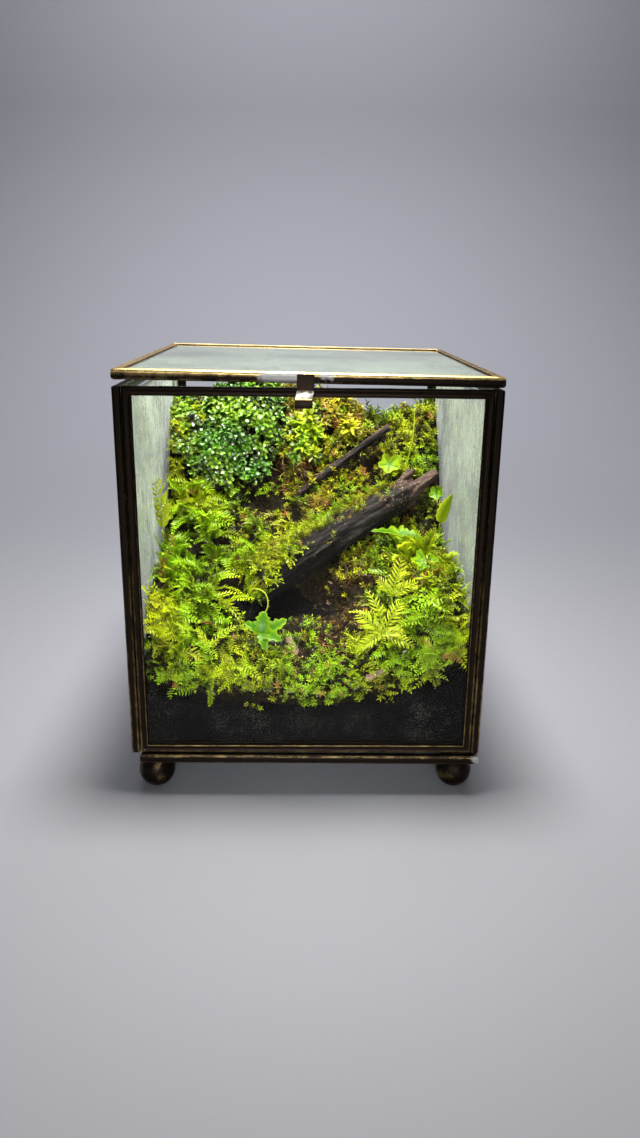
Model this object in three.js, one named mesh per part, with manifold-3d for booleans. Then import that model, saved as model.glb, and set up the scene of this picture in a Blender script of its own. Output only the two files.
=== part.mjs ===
// A small glass box in brass channel with a hinged lid and ball feet, planted with moss,
// fronds, small leaves and driftwood over black soil. Millimetres, +Z up.
// The working frame has X = 0 in the middle, Y = 0 at the front wall's face and Z = 0 at the
// walls' lower edge. The last lines move it so that the feet stand on Z = 0 and the outline
// is centred on X = 0, Y = 0.
import * as THREE from "three";
import { mergeVertices } from "three/addons/utils/BufferGeometryUtils.js";
import Module from "manifold-3d";

const wasm = await Module();
wasm.setup();

// Driving dimensions of the case
const boxWidth = 100;
const boxDepth = 110;
const wallHeight = 103.6;
const wallThickness = 2.3;
const channelFace = 2.3;
const channelBack = 0.5;
const channelSkin = 0.3;
const baseThickness = 2.6;
const baseGap = 0.3;
const footRadius = 5.5;
const footInset = 6;
const clearance = 0.3;

// Driving dimensions of the lid, its tab and its hinge
const lidThickness = 2.8;
const lidGap = 1.05;
const lidSideGap = 0.1;
const lidTilt = THREE.MathUtils.degToRad(0.65);
const tabWidth = 4.4;
const tabReach = 7;
const tabCentre = -0.9;
const knuckleRadius = 1.35;
const boreRadius = 0.85;
const pinRadius = 0.55;
const hingeWidth = 20;
const middleKnuckle = 9.8;
const leafThickness = 0.6;

// Places that follow from them
const cornerGap = 0.15;
const innerWidth = boxWidth - 2 * (wallThickness + cornerGap);
const floorZ = -(baseGap + baseThickness);
const footFlat = 0.35;
const footTopCut = 0.3;
const footHeight = 2 * footRadius - footFlat - footTopCut;
const lidBottom = wallHeight + lidGap;
const hingeY = boxDepth + clearance + knuckleRadius;
const hingeZ = wallHeight + lidGap / 2;
const plantHalfWidth = boxWidth / 2 - wallThickness - clearance;
const plantFront = wallThickness + clearance;
const plantBack = boxDepth - plantFront;

// A repeatable random number from 0 to 1, so that the planting is the same each time
function seededRandom(seed) {
  let state = seed;
  return () => {
    state = (state * 1664525 + 1013904223) % 4294967296;
    return state / 4294967296;
  };
}

const vec = (x, y, z) => new THREE.Vector3(x, y, z);

// Closed solids from lists of points and triangles, turned over if their faces point in
function solid(points, triangles) {
  let volume = 0;
  for (const [a, b, c] of triangles) {
    volume += points[a].dot(points[b].clone().cross(points[c])) / 6;
  }
  const order = volume < 0 ? triangles.map(([a, b, c]) => [a, c, b]) : triangles;
  const geometry = new THREE.BufferGeometry();
  geometry.setAttribute("position", new THREE.Float32BufferAttribute(points.flatMap((p) => p.toArray()), 3));
  geometry.setIndex(order.flat());
  return geometry;
}

function manifoldOf(geometry) {
  const bare = geometry.clone();
  bare.deleteAttribute("normal");
  bare.deleteAttribute("uv");
  const merged = mergeVertices(bare, 1e-4);
  return new wasm.Manifold(new wasm.Mesh({
    numProp: 3,
    vertProperties: new Float32Array(merged.attributes.position.array),
    triVerts: new Uint32Array(merged.index.array),
  }));
}

// Edges shorter than this are closed up after joining and cutting
const shortestEdge = 0.04;

// The largest piece of a cut body, because a scrap that cutting leaves loose is dropped
function geometryOf(manifold) {
  const bodies = manifold.simplify(shortestEdge).decompose();
  const body = bodies.reduce((best, next) => (next.volume() > best.volume() ? next : best));
  const mesh = body.getMesh();
  const geometry = new THREE.BufferGeometry();
  geometry.setAttribute("position", new THREE.Float32BufferAttribute(mesh.vertProperties, mesh.numProp));
  geometry.setIndex(Array.from(mesh.triVerts));
  return geometry;
}

// How many corners lie so near another one that the two would be merged
function nearCorners(geometry) {
  const near = 0.002;
  return [0, near / 2].reduce((sum, shift) => {
    const copy = geometry.clone().translate(shift, shift, shift);
    return sum + copy.attributes.position.count - mergeVertices(copy, near).attributes.position.count;
  }, 0);
}

function joined(geometries) {
  return geometries.map(manifoldOf).reduce((whole, next) => whole.add(next));
}

// Rings of points, all with the same count, joined into a closed skin. It ends in a flat
// face, or in the point tip where one is given.
function skinOfRings(rings, tip) {
  const count = rings[0].length;
  const points = rings.flat();
  const triangles = [];
  for (let row = 0; row + 1 < rings.length; row += 1) {
    for (let k = 0; k < count; k += 1) {
      const a = row * count + k;
      const b = row * count + ((k + 1) % count);
      triangles.push([a, b, b + count], [a, b + count, a + count]);
    }
  }
  const last = (rings.length - 1) * count;
  for (let k = 1; k + 1 < count; k += 1) {
    triangles.push([0, k + 1, k]);
    if (!tip) triangles.push([last, last + k, last + k + 1]);
  }
  if (tip) {
    points.push(tip);
    for (let k = 0; k < count; k += 1) {
      triangles.push([last + k, last + ((k + 1) % count), points.length - 1]);
    }
  }
  return solid(points, triangles);
}

// A three-sided spike from its root to its tip
function spike(root, tip, radius) {
  const along = tip.clone().sub(root).normalize();
  const across = along.clone().cross(vec(0.31, 0.17, 0.94)).normalize();
  const ring = [0, 1, 2].map((k) => (
    root.clone().addScaledVector(across.clone().applyAxisAngle(along, (2 * Math.PI * k) / 3), radius)
  ));
  return skinOfRings([ring], tip);
}

// A plump pointed blade with a diamond section, from its root to its tip
function smallBlade(root, tip, side, width, thickness) {
  const along = tip.clone().sub(root).normalize();
  const up = along.clone().cross(side).normalize();
  const middle = root.clone().lerp(tip, 0.62);
  const ring = [[width / 2, 0], [0, thickness / 2], [-width / 2, 0], [0, -thickness / 2]].map(([a, b]) => (
    middle.clone().addScaledVector(side, a).addScaledVector(up, b)
  ));
  const points = [...ring, root, tip];
  const triangles = [0, 1, 2, 3].flatMap((k) => [[4, k, (k + 1) % 4], [5, (k + 1) % 4, k]]);
  return solid(points, triangles);
}

// A round or knotty limb along a smooth line; radius is a number or a rule of (t, angle)
function limb(line, radius, sides, steps) {
  const curve = new THREE.CatmullRomCurve3(line.map((p) => vec(...p)));
  const frames = curve.computeFrenetFrames(steps);
  const rings = [];
  for (let i = 0; i <= steps; i += 1) {
    const t = i / steps;
    const centre = curve.getPointAt(t);
    const ring = [];
    for (let k = 0; k < sides; k += 1) {
      const angle = (2 * Math.PI * k) / sides;
      const r = typeof radius === "number" ? radius : radius(t, angle);
      const out = frames.normals[i].clone().multiplyScalar(Math.cos(angle) * r);
      out.addScaledVector(frames.binormals[i], Math.sin(angle) * r);
      ring.push(centre.clone().add(out));
    }
    rings.push(ring);
  }
  return skinOfRings(rings);
}

// Metal and glass

// The folded channel's section: [distance in from the outer edge, distance through]
function channelSection(thickness) {
  const round = 0.28 * thickness;
  const soft = round * (1 - Math.SQRT1_2);
  return [
    [round, 0], [channelFace, 0], [channelFace, channelSkin], [channelBack, channelSkin],
    [channelBack, thickness - channelSkin], [channelFace, thickness - channelSkin],
    [channelFace, thickness], [round, thickness], [soft, thickness - soft],
    [0, thickness - round], [0, round], [soft, soft],
  ];
}

// A mitred ring of channel round a pane, standing in XZ with its thickness along +Y
function channelRing(width, height, thickness) {
  const corners = [[-1, -1], [1, -1], [1, 1], [-1, 1]];
  const section = channelSection(thickness);
  const points = corners.flatMap(([sx, sz]) => section.map(([inward, through]) => (
    vec(sx * (width / 2 - inward), through, sz * (height / 2 - inward))
  )));
  const count = section.length;
  const triangles = [];
  for (let corner = 0; corner < 4; corner += 1) {
    const next = (corner + 1) % 4;
    for (let k = 0; k < count; k += 1) {
      const j = (k + 1) % count;
      const [a, b, c, d] = [corner * count + k, corner * count + j, next * count + j, next * count + k];
      triangles.push([a, b, c], [a, c, d]);
    }
  }
  return solid(points, triangles);
}

function pane(width, height, thickness) {
  const edge = 2 * (channelBack + clearance);
  const glass = thickness - 2 * channelSkin - 2 * cornerGap;
  const sheet = new THREE.BoxGeometry(width - edge, glass, height - edge);
  sheet.translate(0, thickness / 2, 0);
  return sheet;
}

// A ball foot, flattened a little where it is soldered on and where it stands
function ballFoot() {
  const rings = 5;
  const low = Math.asin((footRadius - footFlat) / footRadius);
  const high = Math.asin((footRadius - footTopCut) / footRadius);
  const profile = [new THREE.Vector2(0, -footRadius + footFlat)];
  for (let i = 0; i <= rings; i += 1) {
    const angle = THREE.MathUtils.lerp(-low, high, i / rings);
    profile.push(new THREE.Vector2(footRadius * Math.cos(angle), footRadius * Math.sin(angle)));
  }
  profile.push(new THREE.Vector2(0, footRadius - footTopCut));
  const ball = new THREE.LatheGeometry(profile, 14);
  ball.rotateX(Math.PI / 2);
  return ball;
}

// The base frame with the lump of solder that has run out of its right front corner
function baseRing() {
  const ring = channelRing(innerWidth, boxDepth, baseThickness);
  ring.rotateX(Math.PI / 2);
  ring.translate(0, boxDepth / 2, floorZ);
  const lump = new THREE.SphereGeometry(1.3, 8, 6);
  lump.scale(1.2, 0.9, 0.8);
  lump.translate(innerWidth / 2 + 0.75, 0.1, floorZ + 0.7);
  return geometryOf(joined([ring, lump]));
}

// The thumb tab: down over the lid's front edge, out at a slope, and a short lip
function thumbTab() {
  const strip = 0.8;
  const slope = THREE.MathUtils.degToRad(14);
  const lip = 2.3;
  const front = -clearance - strip;
  const top = lidBottom + lidThickness - 0.3;
  const bend = wallHeight - 0.5;
  const nose = bend - (tabReach + front) * Math.tan(slope);
  const outline = new THREE.Shape();
  outline.moveTo(-clearance, top);
  outline.lineTo(-clearance, bend - strip);
  outline.lineTo(-tabReach + strip, nose - strip);
  outline.lineTo(-tabReach + strip, nose - lip);
  outline.lineTo(-tabReach, nose - lip);
  outline.quadraticCurveTo(-tabReach - 0.1, nose, -tabReach + strip, nose + 0.15);
  outline.lineTo(front, bend);
  outline.lineTo(front, top);
  const cut = { depth: tabWidth, bevelEnabled: false, curveSegments: 4 };
  const shape = new THREE.ExtrudeGeometry(outline, cut);
  // The shape's x is the box's Y, its y is Z, and it is as wide as the tab along X
  shape.applyMatrix4(new THREE.Matrix4().set(0, 0, 1, 0, 1, 0, 0, 0, 0, 1, 0, 0, 0, 0, 0, 1));
  const skew = 0.09;
  const place = shape.attributes.position;
  for (let i = 0; i < place.count; i += 1) {
    place.setX(i, place.getX(i) - tabWidth / 2 + tabCentre + skew * (place.getY(i) + 1));
  }
  const points = [];
  for (let i = 0; i < place.count; i += 1) {
    points.push(vec(place.getX(i), place.getY(i), place.getZ(i)));
  }
  const triangles = [];
  for (let i = 0; i < place.count; i += 3) {
    triangles.push([i, i + 1, i + 2]);
  }
  return solid(points, triangles);
}

function rodAlongX(radius, fromX, toX, sides) {
  const rod = new THREE.CylinderGeometry(radius, radius, toX - fromX, sides);
  rod.rotateZ(Math.PI / 2);
  rod.translate((fromX + toX) / 2, hingeY, hingeZ);
  return rod;
}

function block(x0, x1, y0, y1, z0, z1) {
  const box = new THREE.BoxGeometry(x1 - x0, y1 - y0, z1 - z0);
  box.translate((x0 + x1) / 2, (y0 + y1) / 2, (z0 + z1) / 2);
  return box;
}

const leafFrontY = boxDepth + clearance;
const leafBackY = leafFrontY + leafThickness;
const knuckleRoom = knuckleRadius + clearance;

// The hinge's two leaves: a plate, with its knuckles rolled round the bore
function hingeLeaf(plate, tongues) {
  const metal = joined([
    block(-hingeWidth / 2, hingeWidth / 2, leafFrontY, leafBackY, plate[0], plate[1]),
    ...tongues.map(([x0, x1]) => (
      block(x0, x1, leafFrontY, leafBackY, Math.min(plate[0], hingeZ), Math.max(plate[1], hingeZ))
    )),
    ...tongues.map(([x0, x1]) => rodAlongX(knuckleRadius, x0, x1, 12)),
  ]);
  const bore = manifoldOf(rodAlongX(boreRadius, -hingeWidth, hingeWidth, 12));
  return geometryOf(metal.subtract(bore));
}

function caseLeaf() {
  return hingeLeaf(
    [wallHeight - channelFace, hingeZ - knuckleRoom],
    [[-middleKnuckle / 2, middleKnuckle / 2]],
  );
}

function lidLeaf() {
  const inner = middleKnuckle / 2 + clearance;
  return hingeLeaf(
    [hingeZ + knuckleRoom, lidBottom + lidThickness - 0.2],
    [[-hingeWidth / 2, -inner], [inner, hingeWidth / 2]],
  );
}

function hingePin() {
  const rod = new THREE.CylinderGeometry(pinRadius, pinRadius, hingeWidth + 1, 10);
  rod.rotateZ(Math.PI / 2);
  rod.translate(0, hingeY, hingeZ);
  return rod;
}

// The banked ground. Each line is a section of the planting's surface: [y, z] from the
// front glass to the back, at one x.
const surfaceLines = [
  { x: -47.5, line: [[2.4, 19.5], [8, 31], [13, 38], [22, 42.5], [38, 45], [46, 53], [58, 57], [66, 67],
    [73, 86], [84, 89], [107.6, 80]] },
  { x: -20, line: [[2.4, 14.2], [9, 23], [16, 32], [24, 38], [38, 42], [48, 50], [58, 56], [66, 64],
    [74, 80], [82, 92], [107.6, 95]] },
  { x: 5, line: [[2.4, 13], [8, 20], [15, 29], [20, 33], [40, 38], [48, 43], [56, 48], [62, 53],
    [71, 65], [78, 78], [86, 89], [107.6, 88]] },
  { x: 30, line: [[2.4, 19], [8, 26], [15, 34], [24, 38], [44, 40], [58, 46], [66, 54], [76, 68],
    [82, 80], [87, 86], [107.6, 84]] },
  { x: 47.5, line: [[2.4, 29], [8, 35], [14, 41], [30, 44], [58, 45], [68, 54], [79, 68], [83, 79],
    [87, 86], [107.6, 84]] },
];

function between(stops, at) {
  if (at <= stops[0][0]) return stops[0][1];
  for (let i = 1; i < stops.length; i += 1) {
    const [a, low] = stops[i - 1];
    const [b, high] = stops[i];
    if (at <= b) return low + ((high - low) * (at - a)) / (b - a);
  }
  return stops[stops.length - 1][1];
}

// Swellings and hollows of the ground: middle, height and spread
const swells = [
  { at: [-14, 44], rise: 7, spread: 9 },
  { at: [38, 24], rise: 3, spread: 10 },
  { at: [-36, 24], rise: 3, spread: 10 },
  { at: [37, 43], rise: 3, spread: 8 },
  { at: [5, 30], rise: -4, spread: 11 },
  { at: [-18, 24], rise: -4, spread: 5 },
];

// The surface's height, rounded over by averaging across a few millimetres
function surfaceZ(x, y) {
  const reach = 2.5;
  let total = 0;
  for (const dx of [-reach, 0, reach]) {
    for (const dy of [-reach, 0, reach]) {
      total += between(surfaceLines.map(({ x: at, line }) => [at, between(line, y + dy)]), x + dx);
    }
  }
  const swelling = swells.reduce((sum, { at, rise, spread }) => (
    sum + rise * Math.exp(-((x - at[0]) ** 2 + (y - at[1]) ** 2) / (spread * spread))
  ), 0);
  return total / 9 + swelling;
}

function surfaceNormal(x, y) {
  const step = 1;
  const slopeX = (surfaceZ(x + step, y) - surfaceZ(x - step, y)) / (2 * step);
  const slopeY = (surfaceZ(x, y + step) - surfaceZ(x, y - step)) / (2 * step);
  return vec(-slopeX, -slopeY, 1).normalize();
}

// Moss lies this deep over the soil, a little above it, and swells into cushions
const mossDepth = 3.5;
const mossLean = 3;
const mossSeat = 0.4;

function soilZ(x, y) {
  return surfaceZ(x, y - mossLean) - mossDepth;
}

function mossZ(x, y) {
  const cushions = 1.1 * Math.sin(0.43 * x + 1) * Math.sin(0.39 * y) + 0.7 * Math.sin(0.81 * x - 0.6 * y);
  const tufts = 0.6 * Math.sin(2.1 * x + 1.7 * y) * Math.sin(1.9 * y - 2.3 * x);
  return surfaceZ(x, y) + cushions + tufts;
}

// A closed block over the planting's floor whose top follows a height rule
function bank(height, columns, rows, bottom) {
  const points = [];
  const at = (i, j) => i * (rows + 1) + j;
  for (const level of [height, () => bottom]) {
    for (let i = 0; i <= columns; i += 1) {
      for (let j = 0; j <= rows; j += 1) {
        const x = THREE.MathUtils.lerp(-plantHalfWidth, plantHalfWidth, i / columns);
        const y = THREE.MathUtils.lerp(plantFront, plantBack, j / rows);
        points.push(vec(x, y, level(x, y)));
      }
    }
  }
  const below = (columns + 1) * (rows + 1);
  const triangles = [];
  const quad = (a, b, c, d) => triangles.push([a, b, c], [a, c, d]);
  for (let i = 0; i < columns; i += 1) {
    for (let j = 0; j < rows; j += 1) {
      quad(at(i, j), at(i + 1, j), at(i + 1, j + 1), at(i, j + 1));
      quad(below + at(i, j), below + at(i, j + 1), below + at(i + 1, j + 1), below + at(i + 1, j));
    }
  }
  for (let i = 0; i < columns; i += 1) {
    quad(at(i, 0), below + at(i, 0), below + at(i + 1, 0), at(i + 1, 0));
    quad(at(i + 1, rows), below + at(i + 1, rows), below + at(i, rows), at(i, rows));
  }
  for (let j = 0; j < rows; j += 1) {
    quad(at(0, j + 1), below + at(0, j + 1), below + at(0, j), at(0, j));
    quad(at(columns, j), below + at(columns, j), below + at(columns, j + 1), at(columns, j + 1));
  }
  return solid(points, triangles);
}

// Driftwood. The log lies from the hollow at the left up to the wall of moss at the right,
// and its broken end is forked. extra is added all round where the ground is cut clear of it.
const logLine = [[-15.5, 31, 41], [-2, 41, 47], [13, 51.5, 53.5], [34, 65, 62.5]];
const prongLines = [
  [[28, 62, 60.5], [32, 66.5, 65], [36, 70, 69]],
  [[30, 62, 60], [38, 67, 64.5], [44, 70.5, 68.3]],
];

function driftLog(extra) {
  const bark = (t, angle) => (
    (6.8 - 2.1 * t) * (1 + 0.07 * Math.sin(3 * angle + 9 * t) + 0.05 * Math.sin(7 * angle - 14 * t)) + extra
  );
  const prong = (start, end) => (t, angle) => (
    THREE.MathUtils.lerp(start, end, t) * (1 + 0.12 * Math.sin(3 * angle + 11 * t)) + extra
  );
  return joined([
    limb(logLine, bark, 14, 14),
    limb(prongLines[0], prong(3, 1.5), 7, 4),
    limb(prongLines[1], prong(3.2, 1.7), 7, 5),
  ]);
}

const twigLine = [[-4.5, 66, 59.5], [3, 68, 65.5], [13, 71.5, 72.5], [28.1, 76.5, 82.8]];

function twig(extra) {
  const bark = (t, angle) => (1.45 - 0.15 * t) * (1 + 0.1 * Math.sin(2 * angle + 13 * t)) + extra;
  return manifoldOf(limb(twigLine, bark, 8, 9));
}

// Leaves and fronds

// A thin arched blade along a smooth line, cut into pairs of leaflets down to the rib.
// face is the way its upper side looks. With extra it is thicker and wider all round.
function feather(line, { face, reach, pairs, notch = 0.3, thickness = 0.7, droop = 0.3, extra = 0 }) {
  const curve = new THREE.CatmullRomCurve3(line.map((p) => vec(...p)));
  const stations = 2 * pairs;
  const stride = curve.getLength() / stations;
  const rings = [];
  for (let i = 0; i < stations; i += 1) {
    const t = i / stations;
    const rib = curve.getPointAt(t);
    const along = curve.getTangentAt(t);
    const up = vec(...face).addScaledVector(along, -along.dot(vec(...face))).normalize();
    const side = along.clone().cross(up);
    const swell = 1 - 0.75 * t ** 2;
    const tip = i % 2 === 1;
    const width = (tip ? reach * swell : reach * swell * notch) * (i === 0 ? 0.5 : 1) + extra;
    const shift = vec(0, 0, 0);
    if (tip) shift.addScaledVector(along, 0.8 * stride).addScaledVector(up, -droop * width);
    const half = thickness / 2 + extra;
    rings.push([
      rib.clone().addScaledVector(side, width).add(shift),
      rib.clone().addScaledVector(up, half),
      rib.clone().addScaledVector(side, -width).add(shift),
      rib.clone().addScaledVector(up, -half),
    ]);
  }
  return skinOfRings(rings, curve.getPointAt(1));
}

// A small leaf with round lobes, cupped, facing one way, on its stalk's side at the foot
function lobedLeaf(centre, { face, radius, lobes, cut = 0.42, thickness = 0.7, turn = 0, extra = 0 }) {
  const up = vec(...face).normalize();
  const right = vec(0, 0, 1).cross(up).normalize();
  const away = up.clone().cross(right);
  const count = 3 * lobes;
  const half = thickness / 2 + extra;
  const points = [];
  for (const level of [half, -half]) {
    for (let k = 0; k < count; k += 1) {
      const angle = (2 * Math.PI * k) / count + turn;
      const isNotch = k % 3 === 0;
      const r = radius * (isNotch ? 1 - cut : 1) + extra;
      const cup = 0.12 * radius * Math.cos(2 * angle) + (isNotch ? -0.1 : 0.12) * radius;
      points.push(vec(...centre)
        .addScaledVector(right, r * Math.sin(angle))
        .addScaledVector(away, r * Math.cos(angle))
        .addScaledVector(up, level + cup));
    }
  }
  const top = points.length;
  points.push(vec(...centre).addScaledVector(up, half), vec(...centre).addScaledVector(up, -half));
  const triangles = [];
  for (let k = 0; k < count; k += 1) {
    const next = (k + 1) % count;
    triangles.push([top, k, next], [top + 1, count + next, count + k]);
    triangles.push([k, count + k, count + next], [k, count + next, next]);
  }
  return solid(points, triangles);
}

// The point where a stem enters the moss, and the foot of its root below that point
function rooted(x, y) {
  return { skin: [x, y, surfaceZ(x, y)], foot: [x, y + 1.2, surfaceZ(x, y) - 3.2] };
}

const stemRadius = 0.6;

// Each plant stands on a stem in a plain hole: root is [x, y] on the slope, neck is where
// the blades leave the stem
const fronds = [
  { name: "frond_star", root: [21.6, 12.5], neck: [21.6, 10.5, 32.8], face: [0.1, -0.8, 0.6],
    arms: [
      { to: [14.2, 13, 38.8], by: [18.5, 10.6, 36], reach: 2.1, pairs: 4 },
      { to: [16.8, 18.5, 44.4], by: [21.8, 13, 40], reach: 1.7, pairs: 5 },
      { to: [27.8, 15.5, 41.8], by: [24.8, 11.5, 38], reach: 1.9, pairs: 4 },
      { to: [27.6, 8.6, 34], by: [24.8, 8.6, 34.4], reach: 1.6, pairs: 3 },
      { to: [31.2, 6.6, 30.2], by: [26.6, 7.8, 32.4], reach: 1.6, pairs: 4 },
      { to: [14.4, 7.6, 29.2], by: [18, 8, 32], reach: 1.7, pairs: 3 },
    ] },
  { name: "frond_upright", root: [25.4, 23], neck: [25.2, 20.6, 41], face: [0.1, -0.85, 0.5],
    arms: [
      { to: [28.4, 24.4, 52.5], by: [26.4, 20.8, 46.5], reach: 2, pairs: 5 },
      { to: [20.6, 20, 46.6], by: [23, 19.4, 44.6], reach: 1.5, pairs: 3 },
      { to: [33.2, 22.6, 45], by: [29, 20, 43.8], reach: 1.7, pairs: 4 },
    ] },
  { name: "frond_low_right", root: [36.4, 7.4], neck: [36, 5.8, 28.4], face: [0, -0.8, 0.6],
    arms: [
      { to: [32.2, 6.4, 33.8], by: [34.4, 5.4, 31.6], reach: 1.4, pairs: 3 },
      { to: [39.9, 7.2, 35], by: [38.2, 5.6, 32.2], reach: 1.5, pairs: 4 },
      { to: [43.8, 4.8, 28.6], by: [40, 4.6, 29.6], reach: 1.4, pairs: 3 },
    ] },
  { name: "frond_arch_left", root: [-39.2, 8], neck: [-39, 5.8, 30.4], face: [0.6, -0.7, 0.4],
    arms: [
      { to: [-32.8, 13.5, 43.2], by: [-39.4, 7.4, 38.4], reach: 1.8, pairs: 6 },
    ] },
  { name: "frond_arch_low", root: [-36.4, 6], neck: [-36, 4.6, 28], face: [0, -0.6, 0.8],
    arms: [
      { to: [-29, 4.8, 25.6], by: [-32.4, 4.8, 31.4], reach: 1.6, pairs: 5 },
    ] },
  { name: "frond_arch_middle", root: [-27.8, 9.6], neck: [-27.8, 7.2, 29.6], face: [0, -0.6, 0.8],
    arms: [
      { to: [-19.6, 9.6, 35.6], by: [-24, 7.6, 34.6], reach: 1.2, pairs: 5 },
      { to: [-31.4, 7.6, 36], by: [-29.6, 6.4, 33.2], reach: 1.1, pairs: 3 },
    ] },
  { name: "frond_left_edge", root: [-45.4, 44], neck: [-45.6, 41.6, 55.5], face: [0.3, -0.9, 0.3],
    arms: [
      { to: [-45.6, 32.5, 73], by: [-45.3, 39, 64], reach: 1.6, pairs: 6 },
    ] },
];

const leaves = [
  { name: "leaf_cluster", root: [-13.4, 15], neck: [-12.8, 12, 33], face: [0, -0.75, 0.66],
    blades: [
      { feather: [-5.8, 13, 37.4], by: [-9.4, 11.6, 35.4], reach: 1.5, pairs: 3, notch: 0.62 },
      { feather: [-12.6, 15.5, 40.2], by: [-12.8, 12.6, 36.8], reach: 1.9, pairs: 3, notch: 0.6 },
      { feather: [-7.6, 9, 31.6], by: [-10, 9.8, 32.8], reach: 1.5, pairs: 3, notch: 0.6 },
      { feather: [-12, 8.2, 29.4], by: [-12.6, 9, 31.6], reach: 1.4, pairs: 2, notch: 0.6 },
      { feather: [-17.2, 12.8, 34.8], by: [-15.2, 12, 34.4], reach: 1.4, pairs: 2, notch: 0.6 },
    ] },
  { name: "leaf_upper", root: [29.5, 74], neck: [27.9, 68.6, 71.4], face: [-0.1, -0.8, 0.6],
    blades: [{ lobed: 3.3, lobes: 5, turn: 0.2 }] },
  { name: "leaf_right_wall", root: [44, 70.4], neck: [43.6, 63.4, 62.6], face: [-0.3, -0.8, 0.5],
    blades: [{ lobed: 2.6, lobes: 5, turn: 0.5 }] },
  { name: "leaf_clover", root: [38, 44], neck: [37.3, 38, 46.4], face: [-0.1, -0.6, 0.8],
    blades: [{ lobed: 4.2, lobes: 6, turn: 0.1 }] },
  { name: "leaf_under_log", root: [30, 54], neck: [29.6, 49.5, 52.2], face: [0, -0.5, 0.85],
    blades: [
      { lobed: 3.6, lobes: 5, turn: 0.6 },
      { feather: [20.4, 45.6, 54], by: [25, 47, 54], reach: 1.5, pairs: 3, notch: 0.5 },
    ] },
  { name: "leaf_oval", root: [44.6, 63], neck: [44.2, 58.5, 54.8], face: [-0.4, -0.8, 0.4],
    blades: [{ feather: [46.2, 50, 66.5], by: [44.6, 54.5, 60.6], reach: 2.1, pairs: 4, notch: 0.82 }] },
];

// A plant's solids: the part above the moss, and the stem with its root
function plantSolids(plant, extra) {
  const { skin, foot } = rooted(...plant.root);
  const stem = limb([foot, skin, plant.neck], stemRadius + extra, 5, 3);
  const blades = (plant.arms ?? plant.blades).map((blade) => {
    const end = blade.to ?? blade.feather;
    if (end) {
      return feather([plant.neck, blade.by, end], { ...blade, face: plant.face, extra });
    }
    return lobedLeaf(plant.neck, { face: plant.face, radius: blade.lobed, ...blade, extra });
  });
  return joined([stem, ...blades]);
}

// Thin growths: the upright stem at the upper right, and a curled rootlet by the hollow
const tendrilLine = [[33.4, 77, 65.5], [34.6, 73.5, 71], [36.4, 75.6, 78.5], [36.8, 79, 87.5]];
const rootletLine = [
  [-18.5, 27, 37], [-16.6, 24, 41.6], [-12.6, 22.2, 41.2], [-11.6, 20.6, 37.4], [-14, 21, 32.6],
];

function tendril(extra) {
  const taper = (t) => 0.5 - 0.12 * t + extra;
  return joined([
    limb(tendrilLine, taper, 5, 9),
    feather([[36.8, 78.8, 87.2], [37.3, 78.6, 88.8], [38.2, 78.2, 90.2]],
      { face: [-0.4, -0.8, 0.3], reach: 0.8, pairs: 2, extra }),
  ]);
}

function rootlet(extra) {
  return manifoldOf(limb(rootletLine, 0.42 + extra, 5, 12));
}

// Flat chips of litter lying on the moss
const chips = [
  { name: "litter_chip_right", at: [20.6, 6.4], size: [7, 2.8, 0.9], turn: 0.35 },
  { name: "litter_chip_middle", at: [-4.6, 13.4], size: [2.8, 6.4, 1], turn: 0.45 },
];

function chip({ at: [x, y], size, turn }, extra) {
  const [length, width, thickness] = size.map((side) => side + 2 * extra);
  const flake = new THREE.BoxGeometry(length, width, thickness, 3, 2, 1);
  const place = flake.attributes.position;
  for (let i = 0; i < place.count; i += 1) {
    place.setX(i, place.getX(i) + 0.35 * Math.sin(2.3 * place.getY(i) + turn));
    place.setZ(i, place.getZ(i) + 0.03 * place.getX(i) ** 2);
  }
  const lie = new THREE.Quaternion().setFromUnitVectors(vec(0, 0, 1), surfaceNormal(x, y));
  flake.rotateZ(turn);
  flake.applyQuaternion(lie);
  const lift = vec(x, y, surfaceZ(x, y)).addScaledVector(surfaceNormal(x, y), 1.1);
  flake.translate(lift.x, lift.y, lift.z);
  return manifoldOf(flake);
}

// Moss patches. Each fills the ground nearest to its own middle, [x, y], and carries
// sprigs of its own kind.
const mossPatches = [
  { name: "moss_rosette_back_left", middle: [-27, 82], colour: 0x2f6a14, kind: "rosette", count: 15,
    size: 3.4 },
  { name: "moss_tuft_back_middle", middle: [6, 90], colour: 0x8a8a2a, kind: "needle", count: 34, size: 4 },
  { name: "moss_fine_back_right", middle: [36, 91], colour: 0x86a81e, kind: "needle", count: 34, size: 3.6 },
  { name: "moss_feather_left", middle: [-37, 48], colour: 0x7fa31c, kind: "spray", count: 13, size: 7 },
  { name: "moss_cushion_over_log", middle: [-13, 48], colour: 0x79a51a, kind: "spray", count: 12, size: 6.5 },
  { name: "moss_between_wood", middle: [12, 67], colour: 0x8f9c26, kind: "needle", count: 22, size: 3.6 },
  { name: "moss_right_wall", middle: [37, 58], colour: 0x8aa824, kind: "needle", count: 24, size: 3.8 },
  { name: "moss_hollow_litter", middle: [6, 33], colour: 0x4b3f1c, kind: "needle", count: 22, size: 3 },
  { name: "moss_left_bank", middle: [-35, 18], colour: 0x86a520, kind: "needle", count: 34, size: 4.4 },
  { name: "moss_front_carpet", middle: [-3, 7], colour: 0x6f8f22, kind: "needle", count: 36, size: 3.2 },
  { name: "moss_right_bank", middle: [37, 20], colour: 0x8fb41e, kind: "needle", count: 34, size: 4.6 },
];

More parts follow.
